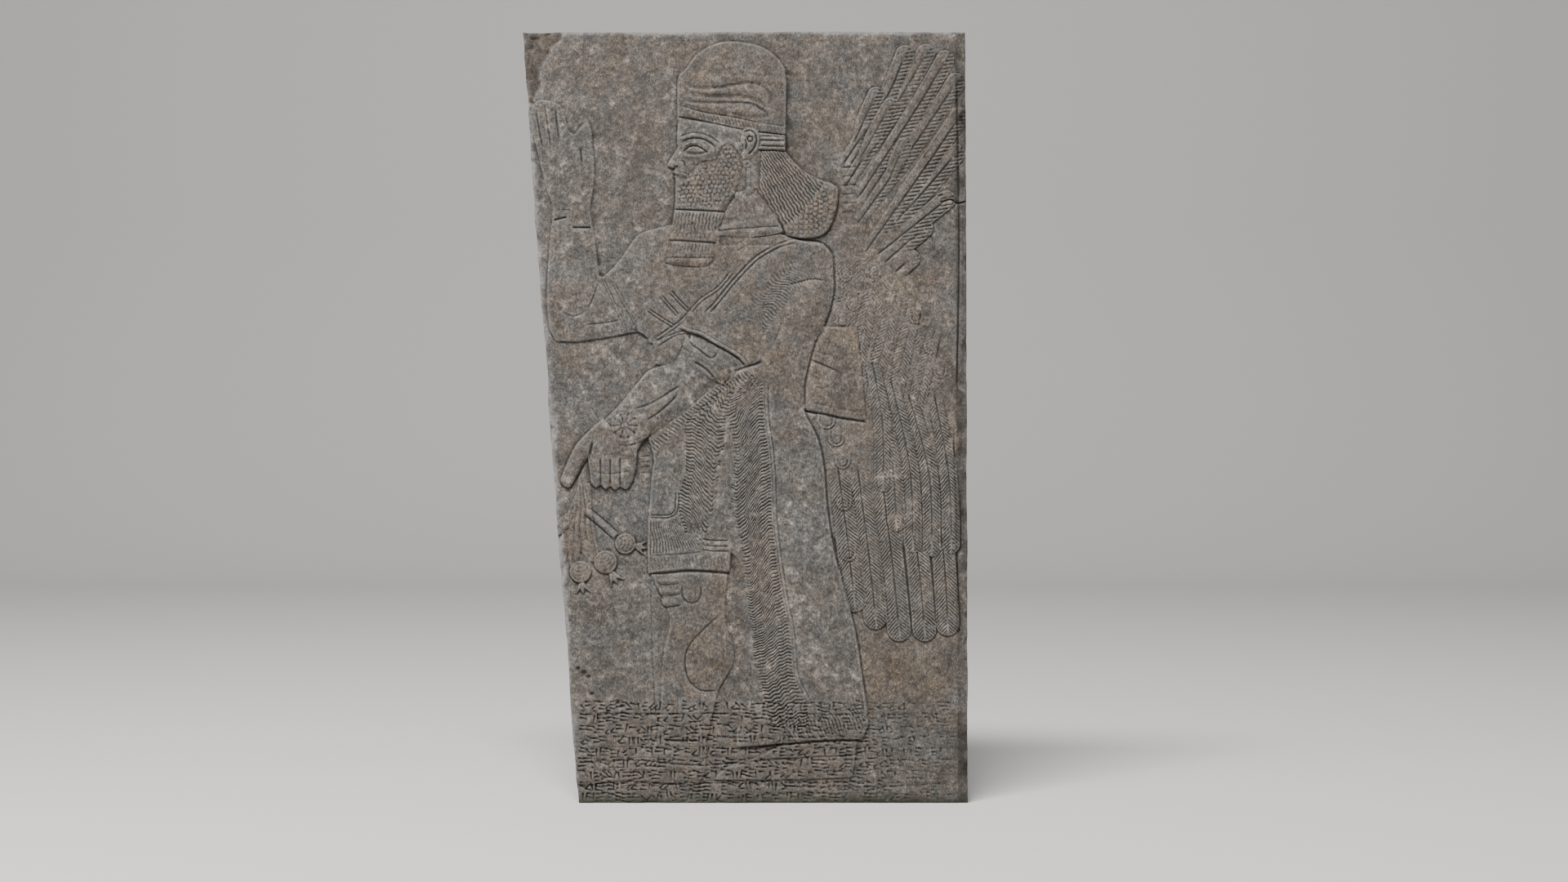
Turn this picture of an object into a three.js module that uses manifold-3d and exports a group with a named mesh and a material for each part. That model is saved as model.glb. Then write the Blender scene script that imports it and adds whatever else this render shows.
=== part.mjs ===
// Stone relief panel: one upright slab of gypsum stone, carved in low relief with a winged, bearded
// figure in a horned cap. The figure walks to the left, lifts one hand and lowers the other, which
// holds a branch of pomegranates. Rows of wedge strokes run across the shins.
// Millimetres, +Z up. The back face lies in the plane y = 0 and the carved face looks along -Y.

import * as THREE from 'three';
import { mergeVertices } from 'three/addons/utils/BufferGeometryUtils.js';
import Module from 'manifold-3d';

const wasm = await Module();
wasm.setup();

// The slab
const SLAB_HEIGHT = 2230;
const SLAB_WIDTH = 1294;
const FOOT_LEFT_INSET = 162; // the left edge runs in by this much from the top to the foot
const TOP_RIGHT_INSET = 9;
const GROUND_THICKNESS = 110; // from the sawn back to the ground of the relief

// The figure, from the top of its cap to its soles, and its place on the slab
const FIGURE_HEIGHT = 2146;
const SOLE_ABOVE_FOOT = 54;
const FIGURE_LEFT_OF_CENTRE = 28;

// How far each part stands proud of the ground
const RISE = {
  upperWing: 5,
  lowerWing: 6,
  branch: 5,
  fruit: 9,
  raisedArm: 9,
  rearFoot: 5,
  leg: 6,
  robe: 9,
  skirt: 7,
  torso: 9,
  neck: 7,
  hair: 13,
  head: 11,
  cap: 11,
  beard: 14,
  loweredArm: 14,
  bracelet: 17,
  shawlEdge: 16,
};

// The cuts
const FINE_LINE = { width: 5, depth: 2 };
const BOLD_LINE = { width: 8, depth: 3.5 };
const WEDGE = { length: 20, width: 8, depth: 3.5 };
const DRAFT = 0.55; // how far an edge leans in for each millimetre it rises
const POINT_SPACING = 50; // between the points of a curved edge

// The figure is drawn on a grid of modules. Its plumb line is x = 0, its soles stand on SOLE_ROW and
// its cap ends on CAP_ROW.
const SOLE_ROW = 38;
const CAP_ROW = 950.5;
const MODULE = FIGURE_HEIGHT / (CAP_ROW - SOLE_ROW);
const STONE = new THREE.MeshStandardMaterial({ color: 0x8f8a80, roughness: 0.85, metalness: 0 });

function place([column, row]) {
  const x = column * MODULE - FIGURE_LEFT_OF_CENTRE;
  const z = (row - SOLE_ROW) * MODULE + SOLE_ABOVE_FOOT - SLAB_HEIGHT / 2;
  return new THREE.Vector2(x, z);
}

function corners(...points) {
  return points.map(place);
}

// A smooth curve through grid points, as evenly spaced points in millimetres.
function curve(points, spacing = POINT_SPACING) {
  const spline = new THREE.SplineCurve(points.map(place));
  const steps = Math.max(2, Math.round(spline.getLength() / spacing));
  return spline.getSpacedPoints(steps);
}

function circle([column, row], radius, sides) {
  const centre = place([column, row]);
  return Array.from({ length: sides }, (_, i) => {
    const angle = (2 * Math.PI * i) / sides;
    const reach = new THREE.Vector2(Math.cos(angle), Math.sin(angle)).multiplyScalar(radius * MODULE);
    return reach.add(centre);
  });
}

// Points between two grid points, one for each share from 0 to 1.
function between(a, b, share) {
  return [a[0] + (b[0] - a[0]) * share, a[1] + (b[1] - a[1]) * share];
}

// Evenly spread values from 0 to 1.
function shares(count) {
  return Array.from({ length: count }, (_, i) => (count === 1 ? 0.5 : i / (count - 1)));
}

// The grid point at a share of the way along a smooth curve through grid points.
function along(points, share) {
  const spline = new THREE.SplineCurve(points.map(([column, row]) => new THREE.Vector2(column, row)));
  return spline.getPointAt(share).toArray();
}

function solid(geometry) {
  geometry.deleteAttribute('normal');
  geometry.deleteAttribute('uv');
  const welded = mergeVertices(geometry, 1e-3);
  return new wasm.Manifold(new wasm.Mesh({
    numProp: 3,
    vertProperties: new Float32Array(welded.attributes.position.array),
    triVerts: new Uint32Array(welded.index.array),
  }));
}

// A plate that stands `rise` above the ground and reaches down into the slab. Its edges lean in from
// the surface that it stands on, which is itself `base` above the ground.
const ROOT_DEPTH = 30;
const LEAN_START = 1; // the lean starts this far under that surface
function plate(outline, rise, base = 0) {
  const leaning = rise - base + LEAN_START;
  const geometry = new THREE.ExtrudeGeometry(new THREE.Shape(outline), {
    depth: ROOT_DEPTH,
    bevelThickness: leaning,
    bevelSize: leaning * DRAFT,
    bevelOffset: -leaning * DRAFT,
    bevelSegments: 1,
  });
  geometry.rotateX(Math.PI / 2);
  geometry.translate(0, ROOT_DEPTH + leaning - GROUND_THICKNESS - rise, 0);
  return solid(geometry);
}

// A plain slab of an outline between two depths behind the carved face.
function block(outline, fromBack, toFront) {
  const geometry = new THREE.ExtrudeGeometry(new THREE.Shape(outline), {
    depth: toFront - fromBack,
    bevelEnabled: false,
  });
  geometry.rotateX(Math.PI / 2);
  geometry.translate(0, -fromBack, 0);
  return solid(geometry);
}

// A V-shaped cut along a path of points in millimetres, into a surface that stands `rise` above the
// ground. It has three corners at each point and runs out at both ends.
const ABOVE_SURFACE = 2;
const END_SHARE = 0.15;
function groove(path, rise, { width, depth } = FINE_LINE) {
  const surface = GROUND_THICKNESS + rise;
  const positions = [];
  const faces = [];
  path.forEach((point, i) => {
    const ahead = path[Math.min(i + 1, path.length - 1)];
    const behind = path[Math.max(i - 1, 0)];
    const side = ahead.clone().sub(behind).normalize();
    const share = i === 0 || i === path.length - 1 ? END_SHARE : 1;
    const reach = (share * width * (depth + ABOVE_SURFACE)) / depth / 2;
    const across = new THREE.Vector2(-side.y, side.x).multiplyScalar(reach);
    positions.push(
      point.x + across.x, -(surface + ABOVE_SURFACE), point.y + across.y,
      point.x - across.x, -(surface + ABOVE_SURFACE), point.y - across.y,
      point.x, -(surface - share * depth), point.y,
    );
    if (i > 0) {
      for (const [a, b] of [[0, 1], [1, 2], [2, 0]]) {
        const [here, there] = [3 * (i - 1), 3 * i];
        faces.push(here + a, here + b, there + b, here + a, there + b, there + a);
      }
    }
  });
  const last = 3 * (path.length - 1);
  faces.push(2, 1, 0, last, last + 1, last + 2);
  const geometry = new THREE.BufferGeometry();
  geometry.setAttribute('position', new THREE.Float32BufferAttribute(positions, 3));
  geometry.setIndex(faces);
  return solid(geometry);
}

// A straight chisel cut between two grid points, broadest and deepest at a share of its length. It is
// an upturned pyramid with four corners above the surface and one at the bottom.
function stroke(a, b, rise, { width, depth } = FINE_LINE, deepest = 0.5) {
  const [from, middle, to] = [a, between(a, b, deepest), b].map(place);
  const along = to.clone().sub(from).normalize();
  const across = new THREE.Vector2(-along.y, along.x).multiplyScalar(width / 2);
  const rim = [from, middle.clone().sub(across), to, middle.clone().add(across)];
  const widening = (depth + ABOVE_SURFACE) / depth;
  const surface = GROUND_THICKNESS + rise;
  const positions = rim.flatMap((corner) => {
    const raised = corner.sub(middle).multiplyScalar(widening).add(middle);
    return [raised.x, -(surface + ABOVE_SURFACE), raised.y];
  });
  positions.push(middle.x, -(surface - depth), middle.y);
  const faces = [0, 1, 2, 0, 2, 3, 1, 0, 4, 2, 1, 4, 3, 2, 4, 0, 3, 4];
  const geometry = new THREE.BufferGeometry();
  geometry.setAttribute('position', new THREE.Float32BufferAttribute(positions, 3));
  geometry.setIndex(faces);
  return solid(geometry);
}

// Short cuts that step from one guide curve to another, as in a fringe or a hatched band. They stop a
// little short of both curves.
const HATCH_GAP = 0.13;
function hatch(fromCurve, toCurve, count, rise, size = FINE_LINE) {
  return shares(count).map((share) => {
    const [a, b] = [along(fromCurve, share), along(toCurve, share)];
    return stroke(between(a, b, HATCH_GAP), between(a, b, 1 - HATCH_GAP), rise, size);
  });
}

// A round curl or bead: a low cone of six sides that stands on a surface.
const CURL_SIDES = 6;
const CURL_PITCH = 16;
const CURL_HEIGHT = 5;
function curl(centre, radius, rise, base) {
  const height = rise - base + LEAN_START;
  const middle = place(centre);
  const cone = new THREE.ConeGeometry(radius * MODULE, height, CURL_SIDES, 1);
  cone.rotateX(Math.PI);
  cone.translate(middle.x, -(GROUND_THICKNESS + rise) + height / 2, middle.y);
  return solid(cone);
}

// Adds the plates to the stone, then cuts the lines into them.
function carve(stone, { plates, cuts = [] }) {
  const raised = plates.reduce((whole, next) => whole.add(next), stone);
  return cuts.reduce((whole, next) => whole.subtract(next), raised);
}

const LEFT = -SLAB_WIDTH / 2;
const RIGHT = SLAB_WIDTH / 2;
const FOOT = -SLAB_HEIGHT / 2;
const TOP = SLAB_HEIGHT / 2;
function slabOutline() {
  return [
    new THREE.Vector2(LEFT + FOOT_LEFT_INSET, FOOT),
    new THREE.Vector2(RIGHT, FOOT),
    new THREE.Vector2(RIGHT - TOP_RIGHT_INSET, TOP),
    new THREE.Vector2(LEFT, TOP),
  ];
}

// One long feather: its width swells from root to tip and ends in a round scallop.
function feather(root, tip, rootWidth, tipWidth, rise, base = 0) {
  const axis = new THREE.Vector2(tip[0] - root[0], tip[1] - root[1]);
  const length = axis.length();
  axis.normalize();
  const offset = (reach, side) => [
    root[0] + axis.x * reach - axis.y * side,
    root[1] + axis.y * reach + axis.x * side,
  ];
  const half = tipWidth / 2;
  const round = [-90, -45, 0, 45, 90].map((degrees) => {
    const angle = THREE.MathUtils.degToRad(degrees);
    return offset(length - half + half * Math.cos(angle), half * Math.sin(angle));
  });
  const outline = [offset(0, -rootWidth / 2), ...round, offset(0, rootWidth / 2)];
  return plate(outline.map(place), rise, base);
}

// The upper wing: long feathers fan up to the right from the shoulder, over shorter ones.
function upperWing() {
  const { upperWing: rise } = RISE;
  const longTips = [[209, 951], [236, 951], [260, 938], [278, 906], [281, 862], [279, 815], [256, 753],
    [232, 719], [213, 690]];
  const longRoots = [[130, 800], [134, 775], [140, 750], [147, 722], [157, 690], [162, 688], [165, 684],
    [170, 672], [182, 652]];
  const shortTips = [[175, 890], [194, 876], [211, 828]];
  const shortRoots = [[134, 822], [142, 790], [148, 740]];
  const ground = [
    ...curve([[126, 812], [124, 765], [130, 735], [130, 690], [142, 664]], 80),
    ...curve([[196, 670], [232, 712], [262, 768], [280, 816], [280, 900]], 80),
    ...curve([[262, 934], [236, 946], [206, 942], [160, 880], [134, 832]], 60),
  ];
  return {
    plates: [
      plate(ground, rise - 2),
      ...longTips.map((tip, i) => feather(longRoots[i], tip, 13, 22, rise)),
      ...shortTips.map((tip, i) => feather(shortRoots[i], tip, 10, 20, rise + 2, rise)),
    ],
    cuts: longTips.map((tip, i) => (
      stroke(between(longRoots[i], tip, 0.4), between(longRoots[i], tip, 0.95), rise, BOLD_LINE)
    )),
  };
}

// The lower wing: small scale feathers at the shoulder, then two rows of long feathers that hang.
function lowerWing() {
  const { lowerWing: rise } = RISE;
  const ground = [
    ...curve([[112, 690], [150, 692], [185, 680], [203, 658], [230, 605], [250, 555], [268, 510]]),
    ...curve([[276, 470], [276, 400], [274, 330]], 80),
    ...curve([[262, 318], [200, 330], [150, 330], [118, 345]], 80),
    ...curve([[112, 380], [108, 447], [100, 480], [112, 560], [110, 640]], 80),
  ];
  const longTips = [[147, 254], [172, 234], [202, 220], [235, 221], [263, 228]];
  const longRoots = [[122, 420], [146, 420], [174, 420], [205, 420], [238, 420]];
  const secondTips = [[200, 347], [219, 326], [242, 322], [265, 325]];
  const secondRoots = [[172, 560], [188, 560], [204, 560], [222, 560]];
  const edgeTips = [[112, 475], [124, 452], [133, 427], [134, 374], [139, 313]];
  const edgeRoots = edgeTips.map(([column, row]) => [column + 12, row + 56]);
  const coverts = shares(3).flatMap((share, rowNumber) => shares(3).map((side) => {
    const tip = [138 + 70 * side + 8 * rowNumber, 636 - 90 * share];
    return feather([tip[0] - 4, tip[1] + 26], tip, 14, 20, rise + 1, rise - 1);
  }));
  const barbs = longTips.flatMap((tip, i) => {
    const spine = [0.4, 0.88].map((share) => between(longRoots[i], tip, share));
    const beside = (reach, lift) => spine.map(([column, row]) => [column + reach, row + lift]);
    return [
      ...hatch(beside(-2.5, 1), beside(-9, 5), 3, rise),
      ...hatch(beside(2.5, 1), beside(9, 5), 3, rise),
    ];
  });
  const shafts = [[longTips, longRoots, rise], [secondTips, secondRoots, rise + 2]];
  const shaftCuts = shafts.flatMap(([tips, roots, surface]) => tips.map((tip, i) => (
    stroke(between(roots[i], tip, 0.25), between(roots[i], tip, 0.94), surface, BOLD_LINE)
  )));
  return {
    plates: [
      plate(ground, rise - 1),
      ...longTips.map((tip, i) => feather(longRoots[i], tip, 24, 25, rise)),
      ...secondTips.map((tip, i) => feather(secondRoots[i], tip, 18, 21, rise + 2)),
      ...edgeTips.map((tip, i) => feather(edgeRoots[i], tip, 14, 20, rise + 1)),
      ...coverts,
    ],
    cuts: [...shaftCuts, ...barbs],
  };
}

// The raised arm with its sleeve, and the open hand above it.
function raisedArm() {
  const { raisedArm: rise } = RISE;
  const outline = [
    ...curve([[-220, 583], [-228, 600], [-231, 640], [-228, 700], [-224, 745], [-233, 775], [-253, 858]], 30),
    ...curve([[-249, 872], [-238, 879], [-216, 873], [-210, 860], [-204, 840]], 18),
    ...curve([[-198, 836], [-190, 845], [-183, 851], [-177, 842], [-173, 790], [-178, 745]], 22),
    ...curve([[-177, 735], [-172, 704], [-167, 663]]),
    ...curve([[-163, 661], [-154, 668], [-138, 687], [-120, 712], [-100, 720], [-78, 725]]),
    ...corners([-60, 690], [-70, 600]),
    ...curve([[-104, 580], [-118, 594], [-148, 589], [-194, 582]]),
  ];
  const fingers = [[[-245, 868], [-236, 818]], [[-234, 874], [-226, 820]], [[-221, 871], [-216, 826]]];
  return {
    plates: [plate(outline, rise)],
    cuts: [
      ...fingers.map(([tip, root]) => stroke(tip, root, rise, BOLD_LINE)),
      stroke([-190, 822], [-188, 800], rise, BOLD_LINE),
      stroke([-223, 731], [-206, 735], rise, BOLD_LINE),
      stroke([-200, 722], [-176, 722], rise, BOLD_LINE),
      stroke([-161, 656], [-135, 600], rise, BOLD_LINE),
      stroke([-149, 654], [-119, 597], rise, BOLD_LINE),
      groove(curve([[-212, 619], [-198, 613], [-185, 619]], 30), rise),
      stroke([-182, 603], [-139, 610], rise),
      groove(curve([[-167, 657], [-174, 637], [-181, 622]], 60), rise),
    ],
  };
}

// The long robe at the back, whose fringe crosses it in slanting rows.
function robe() {
  const { robe: rise } = RISE;
  const leftEdge = [[-14, 500], [-5, 440], [-2, 361], [8, 301], [14, 250], [15, 205], [8, 140], [2, 110]];
  const rightEdge = [[84, 520], [86, 494], [101, 464], [109, 427], [113, 378], [121, 328], [131, 290],
    [148, 224], [157, 163], [161, 140]];
  const fringeLeft = [[-10, 485], [-5, 419], [-2, 361], [8, 301], [18, 234], [27, 167], [44, 125]];
  const fringeRight = [[35, 552], [37, 477], [45, 394], [50, 328], [58, 272], [71, 176], [90, 138]];
  const outline = [
    ...curve(leftEdge),
    ...curve([[2, 84], [39, 87], [110, 93], [156, 94]]),
    ...curve([[164, 112], ...rightEdge.toReversed()]),
    ...corners([60, 556], [10, 556]),
  ];
  const hemFrom = [[112, 131], [160, 141]];
  return {
    plates: [plate(outline, rise)],
    cuts: [
      groove(curve(fringeRight, 80), rise, BOLD_LINE),
      groove(curve(fringeRight.map(([column, row]) => [column + 9, row]), 90), rise),
      ...hatch(fringeRight.map(([column, row]) => [column - 3, row]), fringeLeft, 22, rise),
      groove(curve([[96, 130], [119, 129], [158, 139]]), rise),
      ...hatch(hemFrom, [[112, 100], [158, 106]], 7, rise),
    ],
  };
}

// The rear foot, which shows under the hem of the robe.
function rearFoot() {
  const outline = [
    ...curve([[-25, 44], [-17, 55], [5, 66], [30, 73], [66, 92]]),
    ...curve([[150, 95], [147, 70], [144, 47]]),
    ...corners([60, 44]),
  ];
  return { plates: [plate(outline, RISE.rearFoot)] };
}

// The bare front leg: knee, calf, ankle and foot.
function leg() {
  const { leg: rise } = RISE;
  const outline = [
    ...curve([[-107, 305], [-96, 280], [-85, 260], [-80, 234], [-88, 196], [-92, 130], [-96, 92]]),
    ...curve([[-110, 86], [-124, 74], [-150, 65], [-177, 58], [-194, 50], [-194, 39]], 22),
    ...curve([[-180, 38], [-134, 43], [-65, 39], [-46, 40], [-37, 57], [-36, 90]], 26),
    ...curve([[-28, 123], [-20, 155], [-4, 184], [-2, 203], [-12, 240], [-12, 270], [-8, 305]]),
  ];
  const calf = [[-19, 247], [-38, 230], [-56, 210], [-62, 190], [-57, 167], [-42, 154], [-22, 154]];
  const kneecap = [[-65, 284], [-64, 268], [-53, 261], [-43, 268], [-42, 284]];
  const kneeFolds = shares(4).map((share) => {
    const row = 290 - 26 * share;
    return groove(curve([[-94, row + 3], [-84, row - 4], [-70, row + 2]], 40), rise);
  });
  return {
    plates: [plate(outline, rise)],
    cuts: [
      groove(curve(calf, 60), rise, BOLD_LINE),
      groove(curve(kneecap, 20), rise, BOLD_LINE),
      ...kneeFolds,
      ...shares(3).map((share) => stroke([-186 + 14 * share, 56 + 3 * share], [-178 + 16 * share, 44], rise)),
      stroke([-48, 92], [-84, 93], rise),
    ],
  };
}

// The short tunic: a plain panel in front, a long fringe that falls across it and a fringed hem.
function skirt() {
  const { skirt: rise } = RISE;
  const outline = [
    ...curve([[-112, 480], [-100, 440], [-102, 417], [-107, 350], [-107, 303]]),
    ...curve([[-91, 300], [-58, 303], [-33, 302], [-7, 300]]),
    ...curve([[-5, 330], [-6, 400], [-5, 470], [10, 520], [14, 556]]),
    ...corners([-40, 560], [-100, 510]),
  ];
  const fringeLeft = [[-62, 490], [-61, 450], [-63, 425], [-69, 394], [-69, 372]];
  const fringeRight = [[-11, 483], [-13, 459], [-20, 434], [-23, 407], [-26, 374]];
  const panel = [[-104, 369], [-86, 367], [-74, 372], [-71, 392], [-68, 415]];
  const lowerFringe = [[-104, 362], [-85, 360], [-66, 362], [-48, 358], [-30, 351]];
  return {
    plates: [plate(outline, rise)],
    cuts: [
      groove(curve(fringeLeft, 80), rise, BOLD_LINE),
      groove(curve(fringeRight, 80), rise, BOLD_LINE),
      groove(curve(panel, 26), rise, BOLD_LINE),
      ...hatch(fringeLeft, fringeRight.map(([column, row]) => [column - 3, row - 16]), 12, rise),
      ...hatch(lowerFringe, lowerFringe.map(([column]) => [column, 323]), 10, rise),
      stroke([-106, 320], [-8, 320], rise),
      ...hatch([[-102, 316], [-12, 316]], [[-102, 305], [-12, 305]], 12, rise),
      ...shares(3).map((share) => stroke([-41, 339 - 11 * share], [-9, 339 - 11 * share], rise)),
    ],
  };
}

// The torso in its shawl, whose double border runs from the shoulder to the waist.
function torso() {
  const { torso: rise } = RISE;
  const outline = [
    ...curve([[-112, 575], [-98, 557], [-60, 548], [10, 548]]),
    ...corners([84, 500]),
    ...curve([[85, 530], [96, 577], [110, 604], [120, 640], [120, 670], [118, 690]]),
    ...curve([[108, 702], [72, 708], [30, 724], [-20, 722], [-78, 725]]),
    ...curve([[-74, 690], [-66, 640], [-84, 592]]),
  ];
  const borderTop = [[72, 706], [39, 692], [10, 669], [-26, 626], [-59, 594]];
  const borderFoot = [[58, 690], [22, 664], [-6, 636], [-44, 600]];
  const strapFringe = [[80, 664], [61, 643], [34, 616], [7, 590]];
  return {
    plates: [plate(outline, rise)],
    cuts: [
      groove(curve(borderTop, 60), rise, BOLD_LINE),
      groove(curve(borderFoot, 60), rise, BOLD_LINE),
      groove(curve([[-10, 657], [-40, 628], [-75, 598]]), rise),
      groove(curve([[65, 654], [93, 659], [115, 656]]), rise, BOLD_LINE),
      ...hatch(strapFringe, strapFringe.map(([column, row]) => [column + 14, row - 12]), 9, rise),
      ...hatch([[-90, 640], [-60, 612]], [[-74, 652], [-50, 626]], 6, rise),
      groove(curve([[91, 560], [110, 553], [132, 545]]), RISE.lowerWing),
    ],
  };
}

// The sleeve end behind the elbow.
function elbowPanel() {
  const outline = [
    ...corners([80, 499], [114, 493], [161, 484]),
    ...curve([[159, 510], [154, 563], [150, 599]], 60),
    ...corners([139, 600], [100, 606]),
  ];
  return {
    plates: [plate(outline, RISE.lowerWing + 2)],
    cuts: [
      groove(curve([[95, 562], [110, 553], [138, 545]]), RISE.lowerWing + 2),
      groove(curve([[95, 575], [118, 568], [144, 562]]), RISE.lowerWing + 2),
    ],
  };
}

function neck() {
  const { neck: rise } = RISE;
  const outline = corners([-15, 805], [34, 805], [58, 725], [50, 700], [-20, 700]);
  const collar = torsoCollar();
  return { plates: [plate(outline, rise), ...collar.plates], cuts: collar.cuts };
}

// Bead rows at the neck of the shawl.
function torsoCollar() {
  const rise = RISE.torso + 1;
  const outline = [
    ...curve([[-22, 722], [10, 733], [56, 731]]),
    ...curve([[62, 714], [22, 708], [-20, 712]]),
  ];
  return {
    plates: [plate(outline, rise)],
    cuts: [
      stroke([-16, 721], [56, 723], rise),
      ...hatch([[-12, 727], [54, 729]], [[-12, 714], [54, 713]], 8, rise),
    ],
  };
}

// The hair falls behind the ear onto the shoulder and ends in rows of round curls.
function hair() {
  const { hair: rise } = RISE;
  const outline = [
    ...curve([[30, 815], [22, 794], [24, 772], [39, 754], [54, 731], [64, 712]], 30),
    ...curve([[81, 709], [102, 711], [114, 719], [122, 736], [125, 755], [122, 771], [110, 780]], 26),
    ...curve([[99, 777], [85, 787], [72, 802], [62, 812], [61, 836]], 28),
    ...corners([30, 842]),
  ];
  const strands = shares(6).map((share) => groove(
    curve([
      between([34, 832], [58, 834], share),
      between([30, 795], [64, 800], share),
      between([36, 772], [84, 778], share),
      between([56, 740], [104, 768], share),
    ], 60),
    rise,
  ));
  const edge = [[66, 718], [98, 718], [113, 732], [115, 752], [110, 770]];
  const curls = [0, 1].flatMap((rowNumber) => shares(6 - rowNumber).map((share) => {
    const centre = along(edge, share);
    const inward = [centre[0] - 12 * rowNumber, centre[1] + 8 * rowNumber];
    return curl(inward, 7, rise + CURL_HEIGHT, rise);
  }));
  return { plates: [plate(outline, rise), ...curls], cuts: strands };
}

// The head in profile. The face is a plain one, set out by equal thirds from the cap to the chin.
const FACE_TOP = 852;
const FACE_HEIGHT = 84;
const FACE_FRONT = -71;
function head() {
  const { head: rise } = RISE;
  const row = (share) => FACE_TOP - share * FACE_HEIGHT;
  const forward = (reach, share) => [FACE_FRONT - reach, row(share)];
  const profile = [
    ...corners(forward(-1, -0.08), forward(0.5, 0.3), forward(-1, 0.37), forward(11, 0.6)),
    ...corners(forward(10, 0.66), forward(2, 0.68), forward(5, 0.74), forward(1.5, 0.77)),
    ...corners(forward(4, 0.8), forward(0, 0.86), forward(3, 0.93), forward(0, 1)),
  ];
  const outline = [...profile, ...corners([-40, 764], [32, 770], [34, 845], [-20, 862])];
  const eyeMiddle = [-48, row(0.42)];
  const eye = shares(9).map((share) => {
    const angle = 2 * Math.PI * share * (8 / 9);
    return [eyeMiddle[0] + 11 * Math.cos(angle), eyeMiddle[1] + 4.6 * Math.sin(angle)];
  });
  const ear = [
    ...curve([[8, 842], [20, 843], [26, 832], [22, 816], [14, 803]], 14),
    ...curve([[8, 806], [7, 824]], 20),
  ];
  const earring = corners([13, 803], [18, 803], [21, 776], [16, 762], [11, 776]);
  const brow = [[-66, row(0.3)], [-50, row(0.25)], [-30, row(0.3)], [-18, row(0.38)]];
  return {
    plates: [
      plate(outline, rise),
      plate(eye.map(place), rise + 2, rise),
      plate(ear, rise + 3, rise),
      plate(earring, RISE.beard + 2, RISE.beard),
    ],
    cuts: [
      groove(curve(brow, 20), rise, BOLD_LINE),
      groove(curve([[-68, row(0.64)], [-62, row(0.62)], [-59, row(0.68)]], 12), rise),
      groove(curve([[13, 812], [18, 820], [20, 832], [13, 836]], 12), rise + 3),
    ],
  };
}

// The beard: snail curls on the cheek, then long locks between rows of curls.
function beard() {
  const { beard: rise } = RISE;
  const back = [[9, 799], [9, 794], [4, 777], [-2, 760], [-11, 747], [-20, 719], [-24, 701], [-27, 681]];
  const outline = [
    ...curve([[-74, 790], [-73, 760], [-75, 740], [-80, 707], [-85, 684]], 30),
    ...curve([[-82, 677], [-60, 674], [-42, 674], [-27, 680]], 26),
    ...curve(back.toReversed(), 26),
    ...curve([[-4, 810], [-20, 809], [-38, 808], [-48, 801], [-52, 793], [-62, 789]], 18),
  ];
  const bands = [[745, 742], [710, 707], [689, 687]];
  const front = (row) => [-70 - 0.14 * (760 - row), row];
  const rear = (row) => [-8 - 0.27 * (760 - row), row];
  const bandLines = bands.map(([left, right]) => stroke(front(left), rear(right), rise, BOLD_LINE));
  const locks = [[739, 712], [704, 690]].flatMap(([top, bottom]) => shares(7).slice(1, -1).map((share) => (
    stroke(between(front(top), rear(top), share), between(front(bottom), rear(bottom), share), rise)
  )));
  const cheekRows = [[798, -44, 2], [784, -56, -2], [769, -66, -6], [754, -68, -12]];
  const curls = cheekRows.flatMap(([row, from, to]) => {
    const count = Math.round((to - from) / CURL_PITCH) + 1;
    return shares(count).map((share) => curl([from + (to - from) * share, row], 7, rise + CURL_HEIGHT, rise));
  });
  return { plates: [plate(outline, rise), ...curls], cuts: [...bandLines, ...locks] };
}

// The rounded cap, with two pairs of horns that curl to its front and a hatched band below.
function cap() {
  const { cap: rise } = RISE;
  const outline = [
    ...corners([-71, 856], [-71, 922]),
    ...curve([[-54, 922], [-43, 938], [-26, 947], [-4, CAP_ROW], [30, 945], [50, 932], [61, 918]], 28),
    ...corners([63, 900], [62, 834]),
    ...curve([[40, 836], [12, 842], [-32, 851]], 40),
  ];
  const upperHorn = [
    ...curve([[-68, 921], [-61, 914], [-57, 894], [-26, 894], [13, 901], [38, 894], [45, 872]], 26),
    ...curve([[38, 868], [28, 876], [9, 881], [-30, 882], [-56, 885], [-68, 900]], 26),
  ];
  const lowerHorn = [
    ...curve([[-70, 892], [-62, 878], [-43, 877], [12, 876], [37, 866]], 30),
    ...curve([[40, 858], [20, 857], [-20, 862], [-54, 869], [-70, 880]], 30),
  ];
  const bandTop = [[-66, 873], [-40, 864], [-5, 858], [58, 847]];
  const bandFoot = [[-66, 858], [-32, 852], [12, 843], [58, 836]];
  const tuftRows = shares(4).map((share) => between([-38, 928], [44, 918], share));
  return {
    plates: [plate(outline, rise), plate(upperHorn, rise + 4, rise), plate(lowerHorn, rise + 3, rise)],
    cuts: [
      groove(curve(bandTop, 90), rise, BOLD_LINE),
      ...hatch(bandTop, bandFoot, 11, rise),
      ...tuftRows.map(([column, row]) => stroke([column, row + 12], [column + 4, row - 14], rise)),
    ],
  };
}

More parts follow.
